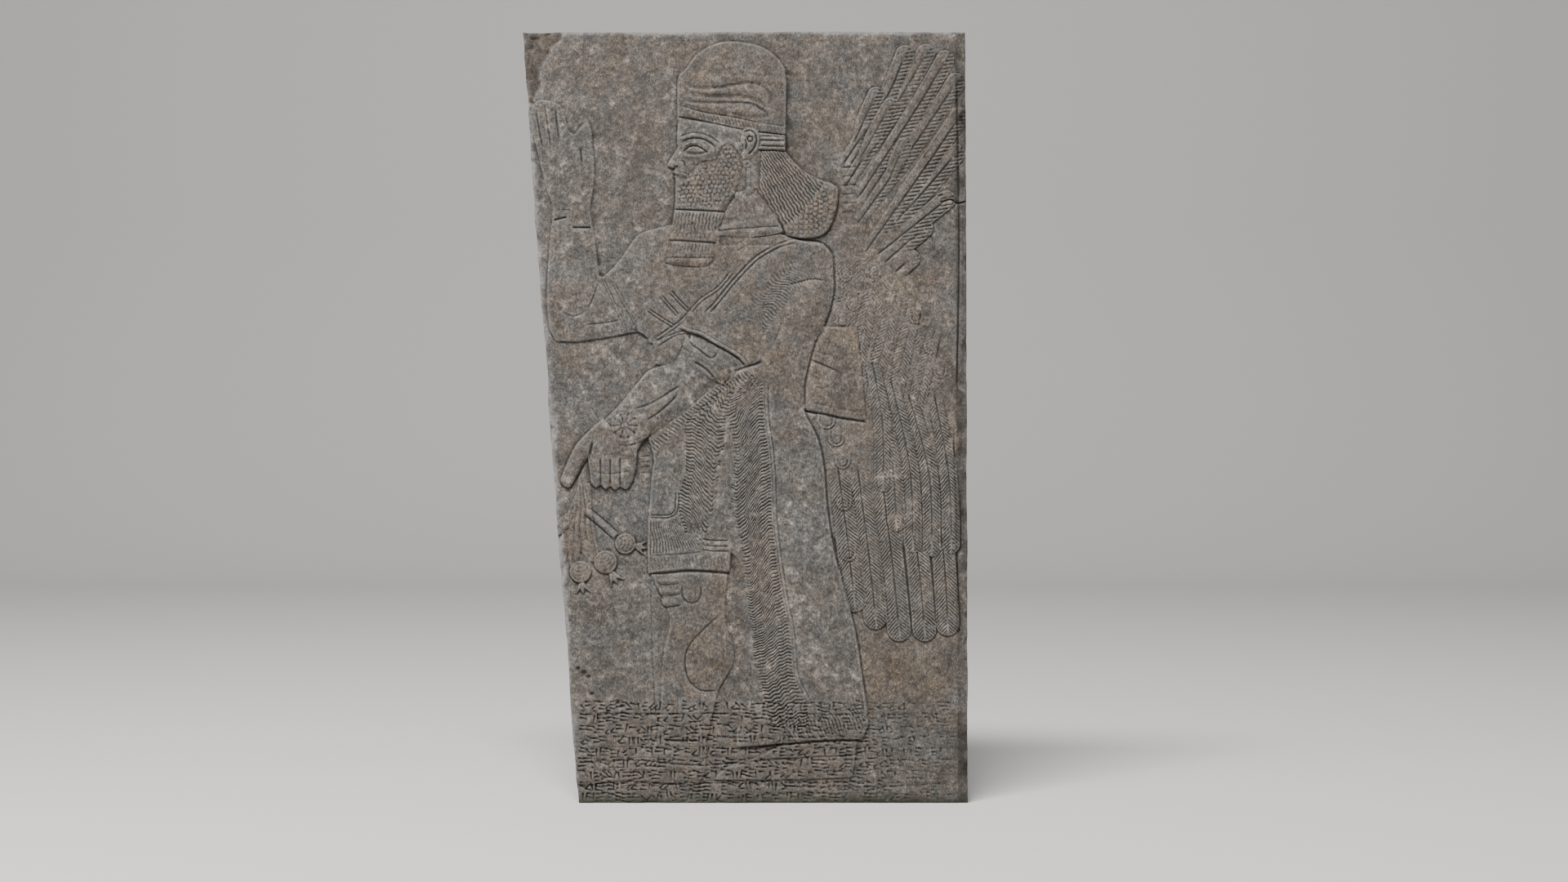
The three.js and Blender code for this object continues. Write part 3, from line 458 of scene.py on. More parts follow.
def upper_wing(stone):
    """Long feathers fan up from the shoulder. Above each shaft the feather is plain, and below it has
    nearly level barbs."""
    rise = RISE["upper wing"]
    ground = joined(
        smooth([[126, 812], [124, 765], [130, 735], [130, 690], [142, 664]]),
        smooth([[196, 670], [232, 712], [262, 768], [280, 816], [280, 900]]),
        smooth([[262, 934], [236, 946], [206, 942], [160, 880], [134, 832]]))
    stone.lay(ground, rise - 2.5, crown=0.5, edge=5, moat=0, tone=(0.5, 0.3))
    shafts = [
        [[130, 796], [185, 880], [213, 945]], [[134, 770], [201, 878], [240, 946]],
        [[150, 757], [222, 867], [264, 938]], [[146, 721], [225, 831], [278, 910]],
        [[157, 688], [232, 794], [282, 868]], [[166, 698], [225, 759], [279, 822]],
        [[171, 686], [253, 751], [266, 763]], [[180, 676], [229, 719], [240, 728]],
        [[190, 662], [210, 679], [224, 692]],
    ]

    def barbs(column, row, along, aside):
        phase = (row - 0.16 * column + 0.7 * stone.waver(column, row)) / 4.4
        below = ease((-aside - 0.6) / 1.0) * ease((12.5 + aside) / 1.2)
        return strands(phase, 2.3, 1.0) * below * ease((along - 25) / 20)

    for shaft in reversed(shafts):
        feather(stone, shaft, rise, 14, 23, barbs, 1.9)
    for shaft in [[[144, 822], [164, 866], [177, 894]], [[151, 801], [182, 857], [196, 880]],
                  [[186, 775], [203, 813], [211, 831]]]:
        feather(stone, shaft, rise + 1.4, 10, 20, barbs, 1.4)
    marks = [[[131, 796 - 11 * i], [150 - 3 * (i % 2), 797 - 11 * i]] for i in range(6)]
    stone.cuts(marks, 2.2, 1.5, 3)
    stone.patch((150, 716), (26, 46), worn=0.7, strength=0.8)
    stone.patch((236, 905), (30, 46), worn=0.4, strength=0.7)


def herringbone(pitch, slope, depth):
    """Barbs that run down and outward from the shaft: cuts where (along - slope |aside|) / pitch, with a
    slight unevenness, is a whole number."""
    def barbs(column, row, along, aside):
        uneven = 0.8 * np.sin(0.13 * row + 0.21 * column) + 0.5 * np.sin(0.31 * column - 0.17 * row)
        phase = (along - slope * np.abs(aside) + 0.5 * uneven) / pitch
        weight = 0.85 + 0.15 * np.sin(0.09 * row - 0.11 * column + uneven)
        return strands(phase, depth, 0.95) * ease((np.abs(aside) - 0.9) / 0.8) * weight
    return barbs


def lower_wing(stone):
    """Small scale feathers at the shoulder, then rows of long feathers that hang."""
    rise = RISE["lower wing"]
    ground = joined(
        smooth([[112, 690], [150, 692], [185, 680], [203, 658], [230, 605], [250, 555], [268, 510]]),
        smooth([[276, 470], [276, 400], [274, 330]]),
        smooth([[262, 318], [200, 330], [150, 330], [118, 345]]),
        smooth([[112, 380], [108, 447], [100, 480], [112, 560], [110, 640]]))

    def down(column, row, depth):
        zigzag = 0.9 * np.abs((column + 0.24 * row) % 19 - 9.5)
        phase = (row + zigzag + 0.6 * stone.waver(column, row)) / 4.1
        fade = 0.45 + 0.4 * ease((row - 480) / 60)
        return strands(phase, 1.6, 0.8) * fade * ease(depth / 6)

    stone.lay(ground, rise - 0.6, down, crown=0.5, edge=6, moat=0, tone=(0.55, 0.34))
    for shaft in ([[200, 650], [188, 600], [174, 545], [166, 500]],
                  [[224, 640], [212, 590], [200, 540], [192, 495]],
                  [[246, 600], [236, 560], [226, 520], [219, 480]],
                  [[172, 660], [160, 610], [150, 560], [146, 520]]):
        feather(stone, shaft, rise + 0.3, 16, 21, herringbone(4.4, 0.9, 2.0), 1.2)
    for tip in ((136, 664), (152, 650), (170, 664), (188, 652), (128, 640), (146, 628), (206, 640),
                (222, 612),
                (132, 606), (240, 575), (252, 545)):
        stone.scale_tip(tip, 8, 0.9, hooked=False)
    long_shafts = [
        [[126, 430], [138, 340], [148, 250]], [[150, 430], [163, 330], [174, 229]],
        [[178, 430], [192, 320], [203, 214]], [[208, 430], [224, 320], [234, 214]],
        [[240, 430], [256, 320], [262, 221]],
    ]
    for shaft in reversed(long_shafts):
        feather(stone, shaft, rise, 24, 29, herringbone(4.5, 1.05, 3.0), 2.2)
    second = [
        [[168, 560], [181, 480], [182, 398]], [[172, 540], [192, 440], [199, 349]],
        [[190, 540], [214, 430], [219, 323]], [[212, 520], [238, 420], [242, 318]],
        [[244, 520], [262, 420], [266, 322]],
    ]
    for shaft in reversed(second):
        feather(stone, shaft, rise + 1.6, 17, 22, herringbone(4.5, 1.05, 3.0), 2.0)
    stone.patch((185, 630), (50, 44), worn=0.35, strength=0.8)
    stone.patch((172, 455), (26, 55), worn=0.35, strength=0.8)
    stone.patch((185, 300), (55, 55), worn=0.2, strength=0.6)
    for centre, radius in (((112, 486), 11), ((124, 463), 9.5), ((132, 435), 9), ((134, 384), 9),
                           ((139, 322), 9.5)):
        stone.scale_tip(centre, radius, 2.2)


# The arms

SKIN_TONE = (0.48, 0.42)


def raised_arm(stone):
    rise = RISE["raised arm"]
    outline = joined(
        smooth([[-220, 583], [-228, 600], [-231, 640], [-228, 700], [-224, 745], [-233, 775],
                [-253, 858]]),
        smooth([[-249, 872], [-238, 879], [-216, 873], [-210, 860], [-204, 840]], 3),
        smooth([[-198, 836], [-190, 845], [-183, 851], [-177, 842], [-173, 790], [-178, 745]], 3),
        smooth([[-177, 735], [-172, 704], [-167, 663]]),
        smooth([[-163, 661], [-154, 668], [-138, 687], [-120, 712], [-100, 720], [-78, 725]]),
        [[-60, 690], [-70, 600]],
        smooth([[-104, 580], [-118, 594], [-148, 589], [-194, 582]]))
    stone.lay(outline, rise, crown=0.5, reach=11, tone=SKIN_TONE)
    stone.cuts([[[-245, 868], [-236, 818]], [[-234, 874], [-226, 820]], [[-221, 871], [-216, 826]]], 2.6,
               1.6, 8)
    stone.cuts([[[-190, 822], [-188, 800]]], 3, 1.8, 5)
    stone.cuts([[[-223, 731], [-206, 735]], [[-200, 722], [-176, 722]]], 3.4, 2.8, 3)
    stone.cuts([[[-222, 744], [-200, 744]], [[-212, 619], [-198, 613], [-185, 619]],
                [[-182, 603], [-154, 606], [-139, 610]], [[-167, 657], [-174, 637], [-181, 622]]], 2.2,
                1.2, 6)
    stone.twin([[-162, 658], [-134, 598]], 2.8, 1.8, 1.0)
    stone.twin([[-150, 656], [-118, 595]], 2.8, 1.8, 1.0)
    stone.patch((-215, 820), (32, 60), worn=0.3, pale=0.45)


def lowered_arm(stone):
    """The forearm in front of the body, with its armlet and its rosette, and the fist."""
    rise = RISE["lowered arm"]
    arm = joined(
        smooth([[-58, 594], [-66, 576], [-78, 557], [-105, 547], [-120, 531], [-145, 501], [-168, 480]]),
        [[-150, 455], [-120, 448]],
        smooth([[-112, 462], [-87, 479], [-64, 496], [-21, 533], [-1, 547], [14, 556]]),
        smooth([[-8, 572], [-25, 581], [-45, 590]]))
    stone.lay(arm, rise, crown=0.6, reach=10, moat=2.2, tone=(0.36, 0.42))
    stone.cuts([[[-127, 498], [-102, 507], [-79, 521], [-62, 531]], [[-114, 483], [-94, 495], [-76, 511],
                [-67, 524]]], 3.2, 1.8, 14)
    for a, b in (((-60, 589), (-22, 561)), ((-46, 562), (-9, 540))):
        band = [a, b, (b[0] - 6, b[1] - 11), (a[0] - 5, a[1] - 12)]
        stone.lay(spaced([*band, band[0]], 4)[:-1], rise + 1.0, crown=0.12, reach=4, edge=2.2, moat=1.4,
                  tone=(0.42, 0.44))
    stone.cuts([[[-56, 592], [-54, 580], [-44, 572], [-29, 561.5], [-22, 569]]], 2.6, 1.7, 4)
    stone.cuts([[[-50, 557], [-44, 554], [-34, 547], [-27, 539], [-22, 533]]], 3.2, 2.4, 4)
    stone.cuts([[[-30, 562], [-16, 551], [-7, 540]]], 2.4, -0.9, 3)
    stone.lay(smooth([[-20, 546], [-12, 548], [-7, 542], [-10, 535], [-18, 533], [-23, 540], [-20, 546]],
                     2.5),
              rise + 1.9, crown=0.3, reach=3, moat=1.6, tone=(0.85, 0.3))
    fist = joined(
        smooth([[-162, 488], [-194, 457], [-212, 419], [-213, 408], [-204, 403], [-197, 412], [-181, 440]],
               3),
        smooth([[-178, 420], [-177, 409], [-171, 403], [-165, 406], [-159, 401], [-153, 404.5],
                [-147, 400],
                [-141, 404], [-135, 401], [-129, 405], [-122, 426], [-120, 455]], 2.5))
    stone.lay(fist, rise + 0.8, crown=0.5, reach=8, moat=2.2, tone=(0.5, 0.42))
    stone.cuts([[[column, 441], [column, 404]] for column in (-165, -153, -141)], 2.6, 2.0, 6)
    stone.cuts([[[-117, row], [-103, row + 1]] for row in (441, 434, 428, 421)], 2.2, 1.2, 4)
    stone.cuts([[[-178, 424], [-155, 420], [-126, 424]]], 2.4, 1.2, 6)
    stone.cuts([[[-179, 440], [-174, 462]], [[-196, 412], [-183, 440]]], 4, 3.2, 8)
    rosette = RISE["bracelet"]

    def petals(column, row, depth):
        angle = np.arctan2(row - 479, column + 135.5)
        radius = np.hypot(row - 479, column + 135.5)
        petal = line_at(np.abs(((angle * 5 / math.pi) % 1) - 0.5), 0.5, 0.12, 1.6)
        rim = line_at(radius, 4.5, 0.9, 1.2)
        return petal * ease((radius - 4.5) / 2) + line_at(depth, 2.6, 0.9, 1.1) + rim

    stone.lay(smooth([(-152, 470), (-138, 455), (-112, 462), (-105, 472), (-124, 486)], 3), rosette - 1.4,
              crown=0.3, reach=3, moat=1.6, detail=lambda c, r, d: line_at(d, 3, 0.8, 0.8),
              tone=(0.5, 0.44))
    stone.lay(ring((-135.5, 479), 16.5), rosette, petals, crown=0.35, reach=3, moat=1.4, tone=(0.5, 0.46))


# The clothes

CLOTH_TONE = (0.42, 0.46)
FRINGE_TONE = (0.62, 0.22)


def fringe(stone, left, right, low, high, fall, pitch, depth, from_left=True, hooked=0.06):
    """Wavy strands between two upright guide curves. A strand is the line on which the row, plus the
    fall times an S of the share across, plus a small ripple, is constant. Strands differ in weight and
    in reach; where they are hooked, their ends turn up."""
    left, right = np.asarray(left, float), np.asarray(right, float)
    outline = joined(left, right[::-1])
    part, column, row = stone.window(outline, 4)
    near, far = (left, right) if from_left else (right, left)
    order_near, order_far = np.argsort(near[:, 1]), np.argsort(far[:, 1])
    falls = np.asarray(fall, float)
    falls = falls[np.argsort(falls[:, 0])]
    start = np.interp(row, near[order_near, 1], near[order_near, 0])
    lift = np.interp(row, falls[:, 0], falls[:, 1])
    end = np.interp(row, far[order_far, 1], far[order_far, 0])
    share = (column - start) / (end - start)
    held = np.clip(share, 0, 1)
    hook = hooked * lift * ease((held - 0.84) / 0.16)
    ripple = 0.8 * np.sin(2 * math.pi * held * 4.3 + 0.04 * row)
    phase = (row + lift * drop(held) - hook + ripple + 0.9 * stone.waver(column, row)) / pitch
    index = np.floor(phase)
    reach = 0.92 + 0.08 * np.sin(index * 2.4) * np.sin(index * 0.7 + 1)
    mask = ease((share + 0.01) / 0.03) * ease((reach + 0.03 - share) / 0.04)
    mask = mask * ease((row - low) / 3) * ease((high - row) / 3)
    weight = 0.78 + 0.22 * np.sin(index * 1.7) + 0.3 * stone.noise(part, 12)
    stone.height[part] += strands(phase, depth, 0.9) * mask * weight
    stone.tint(part, 0.75 * mask, *FRINGE_TONE)


def torso(stone):
    rise = RISE["torso"]
    outline = joined(
        smooth([[-120, 595], [-108, 587.5], [-99, 575], [-98.6, 556], [-60, 548], [10, 548]]), [[84, 500]],
        smooth([[85, 530], [96, 577], [110, 604], [120, 640], [120, 670], [118, 690]]),
        smooth([[108, 702], [72, 708], [30, 724], [-20, 722], [-78, 725]]),
        smooth([[-100, 700], [-116, 660], [-122, 620]]))
    stone.cuts([[[-128, 597], [-118, 595], [-110, 589], [-103, 582]]], 3.2, 2.0, 5)
    right_side = smooth([[84, 500], [85, 530], [96, 577], [110, 604], [120, 640], [120, 670], [118, 690],
                         [104, 703],
                         [72, 709], [30, 724]])

    def rounded(column, row, depth):
        _, aside, _ = beside(right_side, column, row)
        _, corner, _ = beside([[-104, 583], [-99, 570], [-98, 552], [-80, 550]], column, row)
        return -2.8 * np.exp(-np.abs(aside) / 7) - 0.8 * rise * np.exp(-np.abs(corner) / 7)

    stone.lay(outline, rise, rounded, crown=0, moat=0, tone=(0.5, 0.14))
    stone.cut(shifted(right_side, -1.8), 3.4, 1.5, 14)
    border = [[74, 706], [56, 701], [39, 692.5], [22.6, 681], [-2, 655], [-26, 626], [-44, 609.5],
              [-61, 593]]
    stone.twin(border, 4.6, 2.4, 1.7)
    stone.twin([[-2, 670], [-20, 648], [-43, 632], [-66, 607], [-100, 583]], 4.0, 2.2, 1.5, 10)
    stone.cuts([[[52, 718], [19, 703], [-3, 690]]], 2.2, 1.2, 14)
    stone.cuts([[[-100, 582], [-77, 591], [-58, 597]], [[-98, 574], [-74, 589], [-56, 592]]], 2.2, 1.4, 8)
    for cord in ([[-91, 638], [-80, 625], [-69, 613]], [[-80, 644], [-68, 631], [-56, 619]],
                 [[-108, 622], [-92, 611], [-74, 600]]):
        stone.twin(cord, 3.6, 2.2, 1.7, 5)
    strap = smooth([[96, 676], [62, 656], [36, 626], [10, 596], [-12, 582]])
    part, column, row = stone.window(strap, 30)
    along, aside, length = beside(strap, column, row)
    phase = (along + 0.45 * aside + 2.4 * np.sin(aside * 0.25) + 0.8 * stone.waver(column, row)) / 4.1
    band = ease((22 - np.abs(aside - 2)) / 7) * ease(along / 24) * ease((length - along) / 14)
    band = band * (0.7 + 0.3 * rough(band.shape, 26, stone.rng))
    stone.height[part] += strands(phase, 2.0, 0.85) * band * (inside(outline, column, row) > 4)
    stone.cuts([[[60, 650], [78, 655], [96, 659], [117, 656]]], 2.6, 1.4, 14)
    stone.cuts([[[34, 560], [52, 590], [64, 624]], [[118, 646], [112, 612], [98, 580], [90, 548]]], 2.2,
               0.7, 22)
    stone.patch((72, 630), (40, 34), warmth=0.55, pale=0.25)


def elbow_panel(stone):
    rise = RISE["lower wing"] + 1.5
    outline = joined([[80, 499], [114, 493], [161, 484]],
                     smooth([[159, 510], [154, 563], [150, 599]]), [[139, 600], [100, 606]])
    stone.lay(outline, rise, crown=0.25, reach=6, moat=1.8, tone=(0.82, 0.3))
    stone.cuts([[[80, 499], [101, 495], [130, 488], [161, 484]]], 4.2, 2.6, 4)
    stone.cuts([[[98, 606], [112, 602], [139, 600]]], 3.4, 2.0, 6)
    stone.cuts([[[150, 599], [154, 563], [159, 510], [161, 486]], [[92, 508], [126, 501], [156, 495]]],
               2.0, 0.8, 8)
    stone.cuts([[[92, 560], [108, 553.5], [128, 545]]], 2.8, 1.8, 8)
    stone.cuts([[[94, 572], [110, 567], [118, 566]]], 2.2, 0.9, 8)
    stone.cuts([[[92, 542], [104, 536], [112, 539]], [[98, 530], [106, 524], [120, 530]]], 2.2, 0.8, 8)
    stone.patch((140, 520), (16, 34), warmth=0.6)


def robe(stone):
    rise = RISE["robe"]
    left = [[-34, 520], [-30, 440], [-27, 361], [-12, 330], [7, 308], [14, 250], [15, 205], [8, 140],
            [2, 110]]
    right = [[84, 520], [86, 494], [101, 464], [109, 427], [113, 378], [121, 328], [131, 290], [148, 224],
             [157, 163], [161, 140]]
    left_side = smooth(left)
    outline = joined(left_side, smooth([[2, 84], [39, 87], [110, 93], [156, 94]]),
                     smooth([[164, 112], *right[::-1]]), [[60, 556], [10, 556]])

    def sides(column, row, depth):
        _, aside, _ = beside(left_side, column, row)
        worn_side = -0.62 * rise * np.exp(-np.abs(aside) / 9) * ease((330 - row) / 30)
        return worn_side + line_at(depth, 4.2, 0.9, 0.6) * (column > 60) * (row > 130)

    stone.lay(outline, rise, sides, crown=0.3, reach=8, moat=0.5, tone=CLOTH_TONE)
    stone.cuts([[[4, 82], [39, 85.5], [110, 91.5], [154, 92.5]]], 4.2, 2.0, 6)
    stone.cut(shifted(smooth(right), 1.5), 2.8, 0.5, 10)
    stone.patch((88, 370), (26, 110), warmth=0.22, pale=0.62)
    stone.patch((112, 220), (28, 70), warmth=0.42, pale=0.55)
    stone.patch((66, 470), (20, 26), warmth=0.72, pale=0.35)
    stone.twin([[90, 138], [106, 130.6], [119, 129], [140, 133], [157, 140]], 3.0, 1.8, 1.0)
    hem = [[96, 129], [120, 127], [158, 138], [162, 108], [120, 96], [60, 92], [50, 118]]
    stone.emboss(hem, lambda c, r, d: strands((c + 0.5 * r) / 4.4 + 0.3 * np.sin(r / 5), 1.8, 0.9))


def robe_fringe(stone):
    """The long fringe that falls to the left across the robe from a border of two lines."""
    right_guide = [[34.7, 552], [34.7, 510], [37, 477], [41, 452], [43.8, 419], [44.7, 394], [46, 361],
                   [49.6, 328], [52, 310], [58, 272], [65.6, 234], [69.4, 205], [71, 176.5], [79, 155.5],
                   [90, 134]]
    left_guide = [[30, 552], [-12, 505], [-10, 485], [-4, 452], [-4, 419], [-5, 394], [-1, 361],
                  [8, 325], [9, 300], [13, 262], [17.7, 234], [20.6, 200], [23.5, 186], [27, 167],
                  [33, 139], [42, 112]]
    fall = [[100, 20], [150, 16], [200, 22], [240, 36], [290, 46], [360, 46], [430, 42], [500, 44],
            [552, 44]]
    fringe(stone, smooth(left_guide), smooth(right_guide), 104, 556, fall, 4.1, 3.9, from_left=False)
    stone.cut(shifted(smooth(right_guide), 6), 1.8, 1.0, 12)
    stone.cut(shifted(smooth(right_guide), 1.6), 1.8, 1.0, 12)


def rear_foot(stone):
    outline = joined(smooth([[-25, 44], [-17, 55], [5, 66], [30, 73], [66, 92]]),
                     smooth([[150, 95], [147, 70], [144, 47]]), [[60, 44]])
    stone.lay(outline, RISE["rear foot"], crown=0.35, reach=7, moat=1.6)


def skirt(stone):
    rise = RISE["skirt"]
    outline = joined(
        smooth([[-112, 480], [-100, 440], [-102, 417], [-107, 350], [-107, 303]]),
        smooth([[-107, 297], [-91, 300], [-58, 303], [-33, 302], [-7, 300]]),
        smooth([[-5, 330], [-6, 400], [-5, 470], [10, 520], [14, 556]]),
        [[-40, 560], [-100, 510]])
    stone.cuts([[[-109, 300], [-91, 297.5], [-58, 300.5], [-33, 299.5], [-6, 297.5]]], 4.4, 2.6, 5)
    stone.lay(outline, rise, crown=0.1, reach=5, moat=0.5, tone=(0.42, 0.42),
              detail=lambda c, r, d: 2.2 * ease((c + 24) / 18) * ease((r - 310) / 30)
              + line_at(d, 3.2, 0.9, 0.6) * (c < -90))
    left_guide = [[10, 548], [-30, 512], [-58, 487], [-61, 472], [-61, 425], [-69, 394], [-69, 370],
                  [-62, 352]]
    right_guide = [[14, 556], [-6, 503], [-9.5, 483], [-11, 459], [-18, 434], [-21, 407], [-24, 374],
                   [-34, 345]]
    fall = [[330, 50], [370, 40], [400, 32], [440, 26], [480, 20], [520, 16], [556, 10]]
    fringe(stone, smooth(left_guide), smooth(right_guide), 345, 545, fall, 4.2, 3.5, hooked=0.16)
    fan = [[-105, 363], [-88, 361], [-72, 366], [-64, 356], [-46, 344], [-34, 334], [-60, 326],
           [-105, 320]]

    def fanned(column, row, depth):
        lean = 0.12 + 0.95 * ease((column + 104) / 66)
        phase = (column - (row - 320) * -lean + 1.2 * np.sin(row / 5.0)) / 4.1
        return strands(phase, 2.3, 0.9)

    stone.emboss(fan, fanned, 2)
    edge = smooth([[31, 555], [12, 545], [-8, 535], [-22, 527], [-45, 509], [-66, 492], [-88, 471],
                   [-102, 460]])
    part, column, row = stone.window(edge, 20)
    along, aside, _ = beside(edge, column, row)
    phase = (along + 0.3 * aside + 0.8 * stone.waver(column, row)) / 4.5
    hang = 14 + 2.5 * np.sin(np.floor(phase) * 2.1) - 3 * (1 - np.abs(np.sin(math.pi * phase)))
    mask = ease((hang - aside) / 1.6) * ease(aside / 1.5) * ease(along / 6)
    stone.height[part] += (strands(phase, 2.4, 0.8) + 0.8) * mask
    stone.twin([[-104, 368], [-86, 367], [-76, 370], [-71.5, 378], [-71, 398]], 3.4, 2.2, 1.7, 3)
    stone.cuts([[[-41, row + 2], [-28, row], [-7, row]] for row in (338, 331, 325)], 2.2, 1.4, 4)
    stone.cuts([[[-106, 319], [-60, 322], [-40, 325]]], 2.0, 1.0, 6)
    stone.emboss([[-106, 318], [-8, 320], [-8, 304], [-106, 302]],
                 lambda c, r, d: strands((c + 0.15 * r) / 4.3, 0.9, 0.9), 2)


def leg(stone):
    rise = RISE["leg"]
    outline = joined(
        smooth([[-107, 305], [-96, 280], [-85, 260], [-80, 234], [-88, 196], [-92, 130], [-96, 92]]),
        smooth([[-110, 86], [-124, 74], [-150, 65], [-177, 58], [-194, 50], [-194, 39]], 3),
        smooth([[-180, 38], [-134, 43], [-65, 39], [-46, 40], [-37, 57], [-36, 90]]),
        smooth([[-28, 123], [-20, 155], [-4, 184], [-2, 203], [-12, 240], [-12, 270], [-8, 305]]))
    stone.lay(outline, rise, crown=0.5, reach=9, moat=1.5, tone=(0.45, -0.1))
    calf = smooth([[-19, 247], [-38, 230], [-56, 210], [-62, 190], [-57, 167], [-42, 154], [-22, 154]])
    stone.lay(joined(calf, smooth([[-10, 172], [-4, 203], [-12, 236]])), rise + 1.8, crown=0.5, reach=7,
              moat=1.2)
    stone.cut(calf, 2.6, 1.3, 8)
    stone.cuts([[[-65, 284], [-64, 268], [-53, 261], [-43, 268], [-42, 284]]], 2.6, 1.5, 6)
    for row, left, right in ((290, -95, -71), (277, -94, -69), (263, -90, -70)):
        bar = smooth([[left, row + 3], [(left + right) / 2, row + 5], [right, row + 2],
                      [right + 1, row - 4],
                      [(left + right) / 2, row - 6], [left + 2, row - 5], [left, row + 3]], 3)
        stone.lay(bar, rise + 3.6, crown=0.6, reach=3, moat=2.4)
    stone.cuts([[[-104, 297], [-102, 200], [-96, 95]]], 2.0, 0.7, 20)
    stone.cuts([[[-70, 150], [-72, 120], [-80, 98]], [[-44, 150], [-40, 120]]], 2.4, 0.9, 10)
    stone.cuts([[[-188 + 12 * i, 58 + 2 * i], [-180 + 13 * i, 46]] for i in range(4)], 2.2, 1.4, 4)
    stone.patch((-40, 190), (24, 40), warmth=0.75, strength=0.6)
    stone.patch((-16, 280), (10, 40), warmth=0.85, strength=0.7)
    stone.patch((-80, 190), (20, 70), warmth=0.3, pale=0.3, strength=0.6)


# The head

HAIR_TONE = (0.6, 0.16)


def neck(stone):
    stone.lay(spaced([[-15, 805], [34, 805], [58, 725], [50, 700], [-20, 700], [-15, 805]], 5)[:-1],
              RISE["neck"], crown=0.2, moat=1, tone=(0.5, 0.34))
    rise = RISE["torso"] + 0.8
    collar = joined(smooth([[-24, 722], [-5, 727], [25, 732], [51, 733]]),
                    smooth([[60, 716], [22, 711], [-22, 712]]))
    stone.lay(collar, rise, crown=0.2, reach=3, moat=0.8, tone=(0.5, 0.36))
    stone.cuts([[[-22, 718], [10, 721], [57, 724]]], 2.2, 1.3, 6)
    stone.twin([[19, 711], [40, 713], [58, 717]], 3, 1.8, 0.9)


def hair(stone):
    """Fine crimped strands run down behind the ear from a point above the brow, and end in rows of
    ring-like curls."""
    rise = RISE["hair"]
    outline = joined(
        smooth([[30, 815], [22, 794], [24, 772], [31, 762], [39, 752], [54, 731], [64, 712]], 4),
        smooth([[81, 709], [102, 711], [114, 719], [122, 736], [126, 755], [126, 770], [117, 777]], 4),
        smooth([[104, 781], [88, 789], [73, 802], [62, 817], [61, 836]], 4), [[30, 842]])
    source = (-64, 964)
    curl_edge = smooth([[112, 779], [92, 752], [70, 729], [58, 722]])

    def strand(column, row, depth):
        angle = np.arctan2(row - source[1], column - source[0])
        reach = np.hypot(row - source[1], column - source[0])
        phase = angle * 60 + 0.13 * np.sin(reach / 1.8) + 0.2 * stone.waver(column, row)
        _, aside, _ = beside(curl_edge, column, row)
        return strands(phase, 3.0, 0.9) * ease((-aside + 1) / 3)

    stone.lay(outline, rise, strand, crown=0.45, reach=6, moat=2.6, tone=HAIR_TONE)
    rim = smooth([[62, 717], [84, 716], [102, 718], [114, 728], [118, 744], [117, 760], [112, 771]])
    for line in range(5):
        guide = shifted(rim, 6.3 * line)
        for x, y in spaced(guide, 6.2):
            deep = inside(outline, np.array([x]), np.array([y]))[0]
            _, aside, _ = beside(curl_edge, np.array([x]), np.array([y]))
            if deep > 2 and aside[0] > -1.5:
                stone.curl((x, y), 3.2, 1.2, 1.2, 1.2)
    stone.twin([[112, 779], [92, 754], [72, 733], [58, 722]], 3, 1.8, 0.6)


# The face is a plain one, set out by equal thirds from the cap to the chin
FACE_TOP = 852
FACE_HEIGHT = 84
FACE_FRONT = -71


def face_row(share):
    return FACE_TOP - share * FACE_HEIGHT


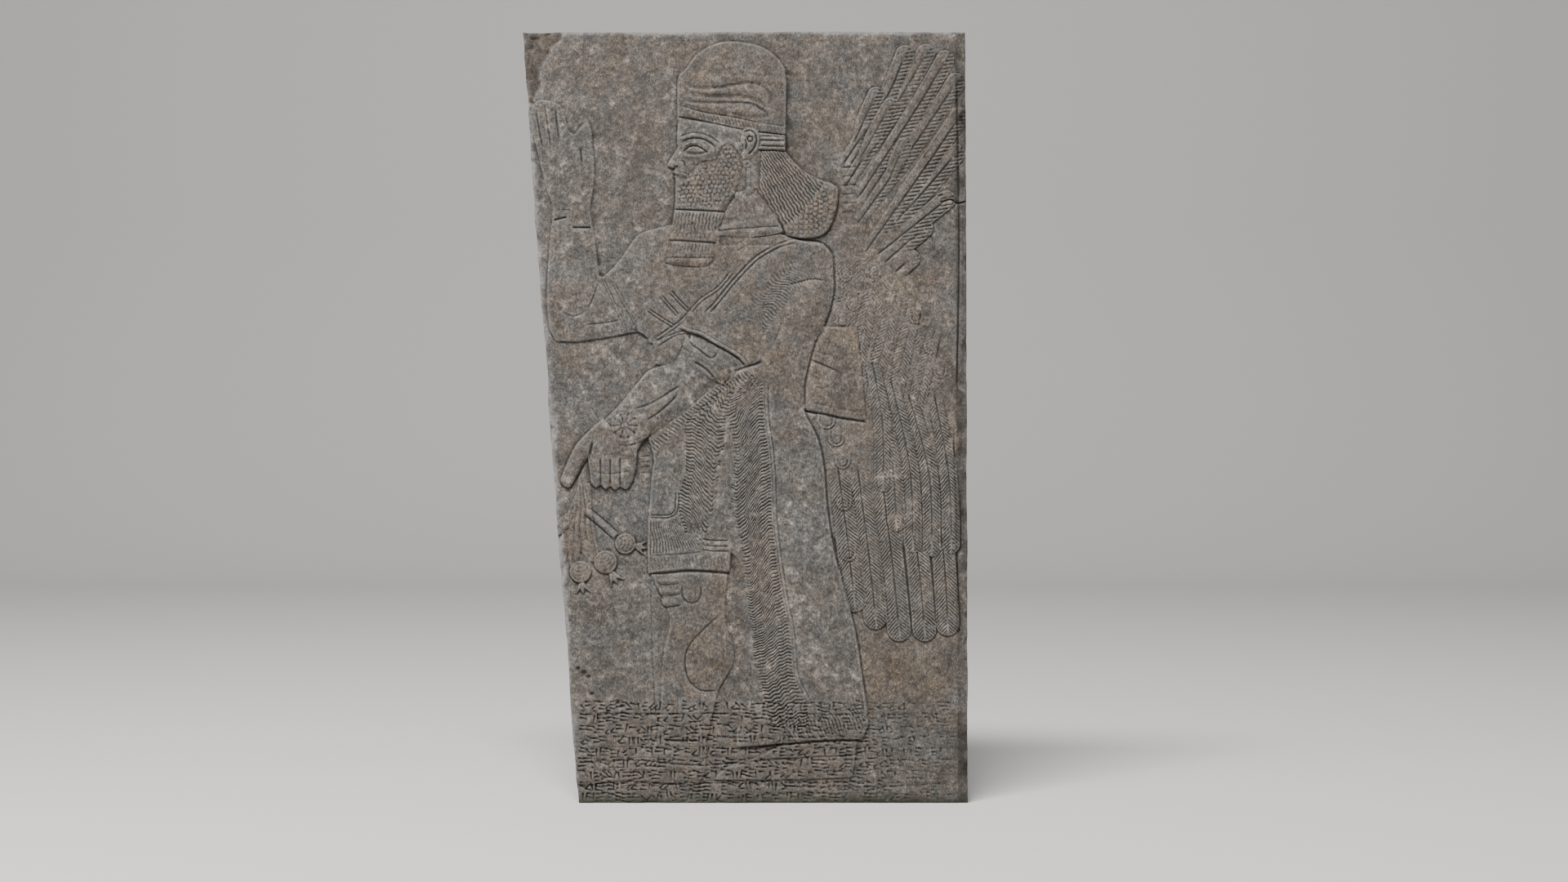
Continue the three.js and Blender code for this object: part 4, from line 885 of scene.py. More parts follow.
def head(stone):
    rise = RISE["head"]
    profile = [(-1, -0.08), (0.5, 0.3), (-1, 0.37), (11, 0.6), (10, 0.66), (2, 0.68), (5, 0.74),
               (1.5, 0.77),
               (4, 0.8), (0, 0.86), (3, 0.93), (0, 1)]
    points = [(FACE_FRONT - reach, face_row(share)) for reach, share in profile]
    outline = joined(smooth(points, 2), [[-40, 764], [30, 770], [34, 845], [-20, 862]])
    stone.lay(outline, rise, crown=0.45, reach=9, edge=1.2, moat=1.8, tone=(0.42, 0.38))
    cheek_part, column, row = stone.window([(-40, face_row(0.62))], 34)
    swell = np.exp(-(((column + 38) / 16) ** 2 + ((row - face_row(0.64)) / 11) ** 2))
    stone.height[cheek_part] += 0.8 * swell * (stone.height[cheek_part] > rise * 0.5)
    eye_row = face_row(0.42)
    eye = joined(smooth([(-63, eye_row - 1), (-56, eye_row + 5), (-47, eye_row + 6), (-38, eye_row + 1.5)],
                        2),
                 smooth([(-34, eye_row - 2.5), (-44, eye_row - 4.5), (-56, eye_row - 4)], 2))
    stone.lay(eye, rise + 1.6, crown=0.5, reach=3, edge=1.0, moat=1.4)
    stone.cut(smooth([(-64, eye_row - 1.5), (-56, eye_row + 4.2), (-46, eye_row + 5), (-33, eye_row - 3)],
                     2), 1.8,
              1.5, 3)
    stone.cut(smooth([(-66, eye_row + 3), (-56, eye_row + 8.5), (-45, eye_row + 9), (-33, eye_row + 2)],
                     2), 2.0,
              -1.5, 3)
    stone.cut(smooth([(-64, eye_row - 5), (-54, eye_row - 7.5), (-42, eye_row - 7), (-33, eye_row - 3)],
                     2), 2.0,
              -1.0, 3)
    brow = smooth([(-69, face_row(0.27)), (-52, face_row(0.2)), (-34, face_row(0.24)),
                   (-20, face_row(0.36))], 3)
    stone.cut(brow, 5.0, -1.7, 6)
    stone.cut(shifted(brow, -3.4), 2.0, 1.2, 6)
    stone.cut(shifted(brow, 3.2), 1.8, 1.0, 6)
    stone.cut(smooth([(-68, face_row(0.57)), (-63, face_row(0.58)), (-61, face_row(0.66))], 2), 2.0, 1.4,
              3)
    stone.cut([(-76, face_row(0.665)), (-70, face_row(0.655))], 2.6, 2.4, 2)
    stone.cut(smooth([(-76, face_row(0.77)), (-66, face_row(0.765)), (-59, face_row(0.75))], 2), 2.0, 2.2,
              4)
    stone.cut(smooth([(-73, face_row(0.715)), (-66, face_row(0.72)), (-61, face_row(0.74))], 2), 3.2, -0.8,
              4)


def ear(stone):
    rise = RISE["head"] + 2.5
    shell = joined(smooth([[6, 834], [9, 841], [17, 845], [26, 842], [31, 833], [30, 821], [24, 811],
                           [17, 804]], 2),
                   smooth([[10, 804], [7, 812], [9, 822], [5, 829]], 2))
    stone.lay(shell, rise, crown=0.4, reach=3, moat=1.8, tone=(0.52, 0.36))
    stone.cut(smooth([[10, 838], [18, 841], [25, 836], [26, 826], [21, 816], [15, 811]], 2), 2.8, 2.6, 4)
    stone.cut(smooth([[11, 831], [14, 826], [13, 817]], 2), 2.6, 2.0, 3)
    stone.lay(ring((18.5, 830.5), 4.0, sides=14), rise + 0.6, crown=0.6, reach=2.4, moat=1.8)
    stone.lay(ring((14.5, 800), 6.0, sides=18), rise + 0.4, crown=0.4, reach=3, moat=1.6,
              detail=lambda c, r, d: line_at(d, 5.4, 1.3, 2.2))
    stone.lay(smooth([[13, 796], [18, 796], [19.5, 783], [19, 774], [14, 774], [12.5, 783], [13, 796]], 3),
              rise - 0.5, crown=0.4, reach=3, moat=1.6)
    stone.lay(ring((17, 768), 4.6, 1.3, sides=14), rise + 0.2, crown=0.5, reach=3, moat=1.6)


def beard(stone):
    """Snail curls on the cheek, then long locks between rows of curls."""
    rise = RISE["beard"]
    back = [[9, 799], [9, 794], [4, 777], [-2, 760], [-11, 747], [-20, 719], [-24, 701], [-27, 681]]
    outline = joined(
        smooth([[-73, 783], [-73.5, 762], [-74.5, 744], [-78, 719], [-80, 707], [-85, 684]], 4),
        smooth([[-85, 679], [-70, 675.5], [-44, 674], [-34, 676], [-27, 681]], 4), smooth(back[::-1], 4),
        smooth([[6, 812], [-2, 822], [-10, 826], [-18, 818], [-24, 806], [-38, 804], [-48, 799],
                [-55, 790],
                [-60, 783.5], [-66, 782]], 3))

    def locks(column, row, depth):
        phase = (column - 0.14 * row + 0.55 * np.sin(row / 1.55)) / 4.3
        upper = ease((741 - row) / 2) * ease((row - 717) / 2)
        lower = ease((703 - row) / 2) * ease((row - 691) / 2)
        lines = line_at(row, 743.5 - 0.05 * column - 3, 1.1, 3.0)
        lines = lines + line_at(row, 704.5 - 0.06 * column - 3, 1.1, 2.8)
        return strands(phase, 1.8, 0.8) * (upper + lower) + lines + line_at(row, 685, 1.0, 1.4)

    stone.lay(outline, rise, locks, crown=0.4, reach=5, moat=2.8, tone=HAIR_TONE)
    for line, row in enumerate(np.arange(820, 746, -5.2)):
        for x in np.arange(-71 + 2.9 * (line % 2), 10, 5.7):
            at = np.array([x, row + 0.05 * x]) + stone.rng.normal(0, 0.75, 2)
            if inside(outline, at[:1], at[1:])[0] > 2.6 and at[1] > 747:
                stone.curl(at, stone.rng.uniform(2.4, 3.5), 1.5, 1.2, 1.1, 1 if line % 2 else -1)
    for row in (712, 687):
        for x in np.arange(-79, -20, 5.6):
            if inside(outline, np.array([x]), np.array([row]))[0] > 2.6:
                stone.curl((x, row - 0.04 * x - 2), 2.9, 1.0, 1.2, 1.1)
    moustache = smooth([[-74, 790.5], [-67, 791.5], [-60, 789], [-55, 784.5], [-57, 781.5], [-63, 784],
                        [-70, 786],
                        [-74, 787], [-74, 790.5]], 2)
    stone.lay(moustache, rise - 0.6, crown=0.4, reach=3, moat=1.0, tone=HAIR_TONE,
              detail=lambda c, r, d: strands((r + 0.35 * c) / 2.6, 0.8, 0.9))


def cap(stone):
    """The rounded cap, with two pairs of horns that curl to its front and a plaited band below."""
    rise = RISE["cap"]
    outline = joined(
        [[-71, 854]], smooth([[-71, 896], [-69.5, 908], [-63, 914], [-57, 922], [-50, 932]], 3),
        smooth([[-43, 938], [-26, 947], [-4, 950.5], [30, 945], [50, 932], [61, 918]], 4),
        [[63, 900], [62, 836]], smooth([[40, 838], [12, 844], [-32, 853]], 4))
    stone.lay(outline, rise, crown=0.45, reach=14, moat=1.4, tone=(0.6, 0.05),
              detail=lambda c, r, d: line_at(d, 4.0, 0.8, 0.4) * (r > 900))
    band_top = smooth([[-70, 873], [-40, 864], [-5, 858], [30, 851], [62, 846.5]])
    part, column, row = stone.window(band_top, 16)
    along, aside, _ = beside(band_top, column, row)
    within = ease((-aside - 1) / 1.5) * ease((12.5 + aside) / 1.5) * (inside(outline, column, row) > 1)
    stone.height[part] += strands((along + 0.7 * aside) / 4.4, 1.3, 0.7) * within
    stone.cut(band_top, 2.2, 1.5, 3)
    stone.cut(shifted(band_top, 2.4), 1.6, 0.7, 3)
    stone.cut(smooth([[-70, 858], [-32, 851], [12, 842], [62, 834.5]]), 2.8, 2.6, 2)
    lower_horn = joined(smooth([[-71, 892], [-64, 880], [-43, 877], [12, 876], [26, 873], [40, 864]], 4),
                        smooth([[42, 858], [20, 856], [-5, 860], [-33, 864], [-54, 869], [-68, 878]], 4))
    stone.lay(lower_horn, rise + 2.2, crown=0.5, reach=4, moat=1.2,
              detail=lambda c, r, d: line_at(d, 2.4, 0.7, 0.8))
    for x in (-22, -2, 18, 33):
        stone.cuts([[[x - 7, 872], [x, 866], [x + 5, 873]], [[x - 5, 866], [x + 1, 861]]], 1.8, 0.9, 3)
    upper_horn = joined(
        smooth([[-69.5, 907], [-63, 905], [-57, 897], [-48, 895], [-26, 894.5], [-5, 898], [13.5, 901],
                [27.5, 900], [38.7, 893], [45.7, 883], [43, 871]], 4),
        smooth([[38, 870], [28, 876], [9, 881], [-12, 881.6], [-40, 883], [-56, 887], [-67, 900]], 4))
    stone.lay(upper_horn, rise + 3.6, crown=0.5, reach=5, moat=2.0,
              detail=lambda c, r, d: line_at(d, 2.6, 0.8, 0.9))
    stone.cuts([[[22 + 6 * i, 893 - 3 * i], [27 + 6 * i, 886 - 3 * i]] for i in range(3)], 1.8, 0.8, 3)
    for x, y in ((-20, 917), (0, 913), (18, 918), (36, 914)):
        stone.patch((x, y), (11, 8), warmth=0.45, pale=0.4, strength=0.5)
        stone.cut(ring((x, y), 7, 0.8), 1.8, 0.45, 0)
    tie = [[[30, row], [62, row - 1]] for row in (834, 829, 822, 817)]
    stone.lay([[28, 838], [62, 835], [62, 816], [28, 818]], RISE["hair"] + 0.6, crown=0.2, reach=2,
              moat=1.4,
              tone=(0.5, 0.36))
    stone.cuts(tie, 2.4, 1.9, 3)


# The branch, the shawl's edge and the signs

def branch(stone):
    rise = RISE["branch"]
    spray = joined(smooth([[-192, 408], [-198, 388], [-206, 372]]),
                   smooth([[-214, 340], [-220, 318], [-219, 304], [-212, 306], [-205, 325]]),
                   smooth([[-203, 306], [-196, 306], [-190, 325]]),
                   smooth([[-178, 312], [-168, 316], [-172, 345]]),
                   smooth([[-176, 368], [-178, 408]]))

    def leaves(column, row, depth):
        lean = (column + 190) / (1 + 0.022 * (400 - row))
        return strands(lean / 3.6 + 0.15 * np.sin(row / 9), 1.5, 0.7) * ease(depth / 2)

    stone.lay(spray, rise, leaves, crown=0.4, reach=5, moat=0.9, tone=(0.75, 0.25))
    stalk = smooth([[-182, 374], [-165, 360], [-146, 343]])
    stone.cut(stalk, 9, -3.6, 3)
    for by in (-5, 5):
        stone.cut(shifted(stalk, by), 2.2, 1.4, 3)
    bud = smooth([[-200, 376], [-214, 366], [-226, 352], [-223, 344], [-212, 347], [-200, 362],
                  [-200, 376]], 3)
    stone.lay(bud, rise + 1.5, crown=0.6, reach=4, moat=1.6, tone=(0.55, 0.35))
    fruits = [((-134.7, 334), 12.6, (-112, 329)), ((-159, 311.5), 14, (-146, 288)),
              ((-190, 299.5), 13.2, (-187, 276))]
    for centre, radius, crown in fruits:
        axis = np.subtract(crown, centre) / np.hypot(*np.subtract(crown, centre))
        across = np.array([-axis[1], axis[0]])
        points = ((3, -9), (-3, -3), (4, 0), (-3, 3), (3, 9))
        tips = [np.add(crown, axis * out + across * side) for out, side in points]
        base = np.add(centre, axis * (radius - 1))
        star = joined([base - across * 2.5], tips, [base + across * 2.5])
        stone.lay(star, rise + 1.8, crown=0.3, reach=2.5, moat=2.4, edge=1.1, tone=(0.7, 0.3))

        def segments(column, row, depth, centre=centre, axis=axis):
            u = (column - centre[0]) * axis[0] + (row - centre[1]) * axis[1]
            v = -(column - centre[0]) * axis[1] + (row - centre[1]) * axis[0]
            inside = ease((depth - 3.5) / 1.5)
            return strands((u + 0.05 * v * v) / 4.6, 1.5, 0.8) * inside + line_at(depth, 2.8, 0.9, 1.4)

        stone.lay(ring(centre, radius), RISE["fruit"], segments, crown=0.4, reach=4, moat=3.4,
                  tone=(0.8, 0.2))


def shawl_edge(stone):
    """The hem of the shawl over the top of the lowered arm."""
    hem = smooth([[-70, 600], [-57, 594], [-44, 590.4], [-29, 582], [-14, 573.8], [2.5, 564],
                  [10.8, 555.6],
                  [14, 550.6]])
    stone.drape(hem, RISE["shawl edge"] - 0.5, 5.5, 17, 3.0)
    stone.cut(shifted(hem, 4.6), 2.0, 1.1, 12)
    stone.cuts([[[-2, 544.5], [13, 551], [24, 554], [34, 558.5]]], 3.8, 2.4, 5)


def signs(stone):
    """Rows of wedge strokes that follow chance and spell nothing: level, upright and slanting cuts, alone
    or in stacks, on faint ruled lines. They are more worn to the right."""
    rng = np.random.default_rng(SEED + 1)
    pitch = 14.0
    for line in range(9):
        base = 134 - pitch * line
        stone.cut(smooth([[-190, base - 8], [-60, base - 7 + rng.normal(0, 1)], [60, base - 8],
                          [180, base - 8]]),
                  1.8, 0.25 + 0.5 * rng.random(), 20)
        column = -189 + 6 * rng.random()
        while column < 273:
            worn = 1 - 0.5 * float(ease((column - 40) / 220)) - 0.4 * rng.random()
            kind, size, strength = rng.random(), rng.uniform(7, 13), 6.6 * worn
            spot = np.array([column, base + rng.normal(0, 0.9)])
            if kind < 0.6:
                for i in range(rng.integers(1, 4)):
                    stone.wedge(spot + (rng.normal(0, 0.8), 4.2 - 4.4 * i), rng.normal(-0.05, 0.12), size,
                                4.3, strength)
            elif kind < 0.74:
                for i in range(rng.integers(1, 3)):
                    stone.wedge(spot + (4.4 * i - 2, 0), -math.pi / 2 + rng.normal(0, 0.13), 11, 4.3,
                                strength)
            elif kind < 0.96:
                stone.wedge(spot, -0.75 + 1.5 * rng.integers(0, 2), size, 4.2, strength)
                stone.wedge(spot + (1.5, -4.4), rng.normal(0, 0.15), 0.8 * size, 4.0, strength)
            column += rng.uniform(4.8, 8.6)
    stone.cuts([[[-86, 93], [-64, 92], [-46, 92]]], 3.6, 3.0, 4)
    stone.cuts([[[-190, 64], [-120, 68], [-40, 62], [60, 70], [140, 74], [166, 82]]], 3.0, 1.4, 16)
    stone.cuts([[[-150, 36], [-20, 40], [120, 34], [270, 40]]], 2.4, 0.9, 20)
    for column in (-150, -70, 10, 90):
        stone.patch((column, 78), (60, 50), warmth=0.7, pale=0.16, strength=0.8)


# Age and painted shade

def slab_edges(column, row):
    """Distance of a cell from the slab's left, right, foot and top edges, in modules."""
    share = (row - FOOT_ROW) / SLAB_ROWS
    left = column - (FOOT_LEFT + (TOP_LEFT - FOOT_LEFT) * share)
    right = FOOT_RIGHT + (TOP_RIGHT - FOOT_RIGHT) * share - column
    return left, right, row - FOOT_ROW, TOP_ROW - row


def broken_corner(stone):
    """The corner at the top left is broken away in front."""
    outline = spaced([[-275, 980], [-275, 868], [-249, 874], [-241, 893], [-238, 915], [-226, 938],
                      [-214, 953],
                      [-209, 980], [-275, 980]], 5)[:-1]
    jag = stone.rng.normal(0, 1.3, outline.shape)
    part, column, row = stone.window(outline)
    facets = 3.2 * stone.noise(part, 22) + 1.6 * stone.noise(part, 8) + 0.6 * stone.noise(part, 3)
    depth = inside(outline + jag, column, row)
    cover = ease(depth / 6 + 0.3)
    floor = -8 - 0.5 * depth.clip(0, 34) + 1.5 * facets
    stone.height[part] = stone.height[part] * (1 - cover) + floor * cover
    stone.tint(part, cover, 0.7, 0.1)
    # Painted shade: the broken recess is darkened.
    stone.dark[part] = np.maximum(stone.dark[part], 0.5 * cover)


def age_and_painted_shade(stone, wear):
    """Worn surfaces are blended with their own running mean; then come swells, pits, cracks, chips and
    the lost arris. The rows of strokes and the right edge are darkened, and the top with painted shade."""
    column, row = np.meshgrid(stone.columns, stone.rows)
    shape = stone.height.shape
    rng = stone.rng
    patchy = 0.5 + 0.5 * rough(shape, 42, rng) + 0.35 * rough(shape, 13, rng)
    weight = np.clip(wear * (stone.worn + 0.5 * np.clip(patchy - 0.45, 0, 1)), 0, 0.85)
    soft = blurred(stone.height, 2)
    stone.height += weight * (soft - stone.height)
    stone.height += 0.9 * rough(shape, 85, rng) + 0.4 * rough(shape, 24, rng) + 0.14 * rough(shape, 8, rng)
    flakes = np.clip(rough(shape, 17, rng) + 0.6 * rough(shape, 5, rng) - 0.72, 0, 0.25) * 4
    stone.height -= 0.9 * flakes
    stone.pale += 0.25 * flakes
    for _ in range(260):
        centre = (rng.uniform(-225, 280), rng.uniform(20, 955))
        radius = rng.uniform(1.2, 3.0)
        part, x, y = stone.window([centre], 6)
        r = np.hypot(x - centre[0], (y - centre[1]) * rng.uniform(0.7, 1.4)) / radius
        stone.height[part] -= rng.uniform(0.5, 1.6) * np.exp(-r**2)
    for dx, dy, radius in ((0, 0, 4), (6, -5, 3), (-7, 5, 2.6), (10, -26, 2.4), (42, -36, 2.6),
                           (47, -41, 2.2),
                           (30, -48, 2.4)):
        centre = (-186 + dx, 176 + dy)
        part, x, y = stone.window([centre], 12)
        r = np.hypot(x - centre[0], 1.4 * (y - centre[1])) / radius
        stone.height[part] -= 3.5 * np.exp(-r**2)
        stone.dark[part] = np.maximum(stone.dark[part], 0.9 * np.exp(-r**2))
    stone.cuts([[[252, 753], [258, 755], [265, 757], [273, 752], [287, 756]]], 1.8, 3.4, 2)
    stone.cuts([[[268, 480], [271, 380], [274, 240]], [[272, 900], [275, 700], [272, 520]]], 2.6, 1.4, 20)
    left, right, foot, top = slab_edges(column, row)
    strip = ease((14 - right) / 3)
    stone.height -= 1.6 * strip
    stone.dark += 0.62 * ease((17 - right) / 5) * (0.6 + 0.6 * rough(shape, 16, rng).clip(-0.6, 1))
    ragged = 1 + 0.9 * rough(shape, 26, rng) + 0.5 * rough(shape, 8, rng)
    nearest = np.minimum(np.minimum(left, right), np.minimum(foot, top)) / np.maximum(ragged, 0.25)
    stone.height -= 5.5 * np.exp(-np.maximum(nearest, 0) / 1.7)
    for i in range(16):
        at = rng.uniform(0.03, 0.93)
        spot_row = FOOT_ROW + SLAB_ROWS * at
        edge_column = FOOT_LEFT + (TOP_LEFT - FOOT_LEFT) * at
        if i >= 10:
            edge_column = FOOT_RIGHT + (TOP_RIGHT - FOOT_RIGHT) * at
        r = np.hypot((column - edge_column) / rng.uniform(4, 8), (row - spot_row) / rng.uniform(6, 16))
        stone.height -= rng.uniform(3, 7) * ease((0.75 + 0.35 * ragged - r) / 0.6)
    rim = ease((5.5 * ragged - left) / 3)
    rim = np.maximum(rim, ease((4.0 * ragged - top) / 2.5) * 0.9)
    rim = np.maximum(rim, ease((3.4 * ragged - right) / 2) * 0.75)
    stone.fresh = rim * np.clip(0.75 + 0.5 * rough(shape, 5, rng), 0, 1)
    stone.stain = ease((15 - foot) / 12)
    stone.dark += 0.22 * ease((144 - row) / 26) * (0.75 + 0.45 * rough(shape, 24, rng))
    # Painted shade towards the top; the upper right is darkened a little more.
    upper_right = 0.09 * ease((column - 150) / 60) * ease((row - 650) / 60)
    stone.dark += 0.10 * ease((row - 640) / 200) + upper_right


def tones(stone):
    """Broad patches of brown patina, bluish grey and pale crystal."""
    for centre, radii, warmth, pale in (
        ((-60, 470), (40, 34), 0.3, 0.5), ((-165, 520), (45, 60), 0.18, 0.38),
        ((-200, 560), (25, 40), 0.85, 0.3),
        ((-130, 360), (50, 34), 0.12, 0.32), ((-170, 220), (40, 40), 0.15, 0.35),
        ((200, 170), (80, 45), 0.85, 0.08),
        ((200, 560), (60, 70), 0.55, 0.35), ((245, 690), (26, 60), 0.45, 0.1),
        ((100, 880), (50, 50), 0.55, 0.2),
        ((-110, 840), (45, 80), 0.45, 0.4), ((-110, 700), (26, 60), 0.5, 0.4),
        ((150, 560), (26, 40), 0.7, 0.3),
        ((-235, 640), (22, 100), 0.3, 0.4), ((20, 60), (260, 48), 0.68, 0.16),
        ((240, 300), (40, 90), 0.6, 0.3),
        ((-60, 930), (90, 22), 0.8, 0.2), ((-180, 935), (60, 20), 0.55, 0.35),
        ((40, 925), (50, 26), 0.65, 0.16),
        ((-140, 620), (70, 34), 0.5, 0.4), ((40, 600), (50, 50), 0.6, 0.36),
        ((150, 400), (40, 60), 0.45, 0.5),
    ):
        stone.patch(centre, radii, warmth=warmth, pale=pale, strength=0.75)


def carve(wear):
    """The whole face, from the lowest relief to the highest."""
    stone = Relief()
    shape = stone.height.shape
    wave_a, wave_b = rough(shape, 14, stone.rng), rough(shape, 5, stone.rng)
    waves = 0.75 * wave_a + 0.35 * wave_b
    stone.dark = np.zeros(shape, np.float32)

    def waver(column, row):
        up = np.clip(((row - stone.rows[0]) / SPACING).astype(int), 0, shape[0] - 1)
        across = np.clip(((column - stone.columns[0]) / SPACING).astype(int), 0, shape[1] - 1)
        return waves[up, across]

    stone.waver = waver
    tones(stone)
    for part in (upper_wing, lower_wing, branch, rear_foot, raised_arm, leg, elbow_panel, robe, skirt,
                 robe_fringe, torso,
                 neck, hair, head, beard, cap, ear, lowered_arm, shawl_edge, signs):
        part(stone)
    age_and_painted_shade(stone, wear)
    broken_corner(stone)
    np.clip(stone.height, -40, HIGHEST, out=stone.height)
    return stone


# The panel's mesh

SIDE_RINGS = 9
BACK_RINGS = (0.8, 0.5, 0.2)


def sampled(stone, values, column, row):
    """Values of the raster between its cells, weighted by the shares across and up."""
    x = np.clip((column - stone.columns[0]) / SPACING, 0, stone.columns.size - 1.001)
    y = np.clip((row - stone.rows[0]) / SPACING, 0, stone.rows.size - 1.001)
    i, j = x.astype(int), y.astype(int)
    u, v = x - i, y - j
    low = values[j, i] * (1 - u) + values[j, i + 1] * u
    high = values[j + 1, i] * (1 - u) + values[j + 1, i + 1] * u
    return low * (1 - v) + high * v


def wobble(count, modules, rng):
    """A ragged inward shift along an edge: value noise of three sizes, none of it outward."""
    sizes = ((0.5, 90), (0.3, 28), (0.2, 9))
    line = sum(part * rough((count, 2), cell, rng)[:, 0] for part, cell in sizes)
    return modules * np.clip(0.45 + line, 0, 1)


def panel_mesh(stone, sizes):
    """Front: column = left + (right - left) u, row = foot + (top - foot) v and y = -(ground + height).
    The edge of that sheet is then carried back to the sawn face in rings, and the back is closed by
    rings that shrink to its middle."""
    rng = np.random.default_rng(SEED + 2)
    rows = sizes.grid_rows
    columns = int(rows * (HIGH.x - LOW.x) / (HIGH.z - LOW.z))
    u, v = np.meshgrid(np.linspace(0, 1, columns), np.linspace(0, 1, rows))
    left = (FOOT_LEFT + (TOP_LEFT - FOOT_LEFT) * v) + wobble(rows, 2.4, rng)[:, None]
    right = (FOOT_RIGHT + (TOP_RIGHT - FOOT_RIGHT) * v) - wobble(rows, 1.4, rng)[:, None]
    foot = FOOT_ROW + wobble(columns, 0.9, rng)[None, :]
    top = TOP_ROW - wobble(columns, 1.6, rng)[None, :]
    column = left + (right - left) * u
    row = foot + (top - foot) * v
    height = sampled(stone, stone.height, column, row) * sizes.relief
    front = np.stack([column * MODULE - FIGURE_LEFT_OF_CENTRE, -(sizes.ground_thickness + height * MM),
                      LOW.z + (row - FOOT_ROW) * MODULE], axis=-1)
    index = np.arange(rows * columns).reshape(rows, columns)
    edge = np.concatenate([index[0, :-1], index[:-1, -1], index[-1, :0:-1], index[:0:-1, 0]])
    flat = front.reshape(-1, 3)
    start = flat[edge]
    u_edge, v_edge = u.reshape(-1)[edge], v.reshape(-1)[edge]
    true_left = (FOOT_LEFT + (TOP_LEFT - FOOT_LEFT) * v_edge) * MODULE - FIGURE_LEFT_OF_CENTRE
    true_right = (FOOT_RIGHT + (TOP_RIGHT - FOOT_RIGHT) * v_edge) * MODULE - FIGURE_LEFT_OF_CENTRE
    back = np.stack([true_left + (true_right - true_left) * u_edge, np.zeros_like(u_edge),
                     LOW.z + (HIGH.z - LOW.z) * v_edge], axis=-1)
    inward = -(back - back.mean(axis=0)) / np.linalg.norm(back - back.mean(axis=0), axis=1, keepdims=True)
    rings = []
    for step in range(1, SIDE_RINGS + 1):
        share = step / SIDE_RINGS
        dents = 0.5 + 0.5 * rough((edge.size, 2), 16, rng)[:, :1]
        dents = dents * (1 - share) * 0.003
        rings.append(start + (back - start) * share + inward * dents)
    rings += [back * [scale, 1, scale] for scale in BACK_RINGS]
    points = np.concatenate([flat, *rings, [[0.0, 0.0, 0.0]]])
    quads = [np.stack([index[:-1, :-1], index[:-1, 1:], index[1:, 1:], index[1:, :-1]],
                      axis=-1).reshape(-1, 4)]
    outer = edge
    for number in range(len(rings)):
        inner = flat.shape[0] + number * edge.size + np.arange(edge.size)
        quads.append(np.stack([outer, inner, np.roll(inner, -1), np.roll(outer, -1)], axis=1))
        outer = inner
    quads = np.concatenate(quads)
    fan = np.stack([outer, np.full(outer.size, len(points) - 1), np.roll(outer, -1)], axis=1)
    mesh = bpy.data.meshes.new("carved_relief_panel")
    mesh.vertices.add(len(points))
    mesh.vertices.foreach_set("co", points.astype(np.float32).ravel())
    mesh.loops.add(quads.size + fan.size)
    mesh.loops.foreach_set("vertex_index", np.concatenate([quads.ravel(), fan.ravel()]).astype(np.int32))
    mesh.polygons.add(len(quads) + len(fan))
    starts = np.concatenate([np.arange(len(quads)) * 4, quads.size + np.arange(len(fan)) * 3])
    mesh.polygons.foreach_set("loop_start", starts.astype(np.int32))
    mesh.update(calc_edges=True)
    mesh.validate()
    return mesh, 2 * len(quads) + len(fan)


def thinned(mesh, triangles, faces):
    """The same surface with fewer triangles: small where the carving is fine, large where it is flat."""
    panel = bpy.data.objects.new("carved_relief_panel", mesh)
    bpy.context.scene.collection.objects.link(panel)
    thin = panel.modifiers.new("Thin", "DECIMATE")
    thin.ratio = faces / triangles
    thin.use_collapse_triangulate = True
    shaped = bpy.data.meshes.new_from_object(panel.evaluated_get(bpy.context.evaluated_depsgraph_get()))
    panel.modifiers.clear()
    panel.data = shaped
    bpy.data.meshes.remove(mesh)
    shaped.name = "carved_relief_panel"
    return panel


def stone_marks(stone, mesh, ground_thickness):
    """Vertex attributes for the stone: how far a point lies below its surroundings, which darkens it with
    grime and painted shade, how far it stands above them, which lightens it with wear and painted
    highlight, and its tones. Both are lessened where the surface steps, so that the grime and painted
    shade keep to the cuts and not to outlines. The sides and the back carry the values of plain dusty
    stone."""
    flat = np.empty(len(mesh.vertices) * 3, np.float32)
    mesh.vertices.foreach_get("co", flat)
    x, y, z = flat.reshape(-1, 3).T
    column = column_of(x)
    row = FOOT_ROW + (z - LOW.z) / MODULE
    carved = y < -(ground_thickness - 0.036)
    soft = blurred(stone.height, 2)
    close = soft - stone.height
    step = np.hypot(*np.gradient(soft, SPACING))
    wide = blurred(stone.height, 9) - stone.height
    # hollow darkens the cuts with grime and painted shade.
    hollow = np.clip(1.1 * close - 0.8 * step + 0.06 * wide, 0, 1.8)
    # proud lightens raised tops with wear and painted highlight.
    proud = np.clip(-1.1 * close - 0.25 * step, 0, 1)
    layers = {
        "hollow": (hollow, 0.25), "proud": (proud, 0.1), "warmth": (stone.warmth, 0.45),
        "pale": (stone.pale, 0.35),
        "dark": (stone.dark, 0.12), "fresh": (stone.fresh, 0.15), "stain": (stone.stain, 0.0),
    }
    for name, (values, plain) in layers.items():
        layer = mesh.attributes.new(name, "FLOAT", "POINT")
        here = np.where(carved, sampled(stone, values, column, row), plain)
        layer.data.foreach_set("value", here.astype(np.float32))


# The stone's material

class Value:
    """A socket in shader maths: each operator adds a Math node."""

    def __init__(self, nodes, socket):
        self.nodes, self.socket = nodes, socket

    def _with(self, operation, a, b):
        return self.nodes.node("ShaderNodeMath", {"operation": operation}, {0: a, 1: b})

    def __add__(self, other):
        return self._with("ADD", self, other)

    def __radd__(self, other):
        return self._with("ADD", other, self)

    def __sub__(self, other):
        return self._with("SUBTRACT", self, other)

    def __rsub__(self, other):
        return self._with("SUBTRACT", other, self)

    def __mul__(self, other):
        return self._with("MULTIPLY", self, other)

    def __rmul__(self, other):
        return self._with("MULTIPLY", other, self)

    def __rpow__(self, other):
        return self._with("POWER", other, self)

    def held(self):
        """The value held between 0 and 1."""
        return self.nodes.node("ShaderNodeClamp", {}, {"Value": self})


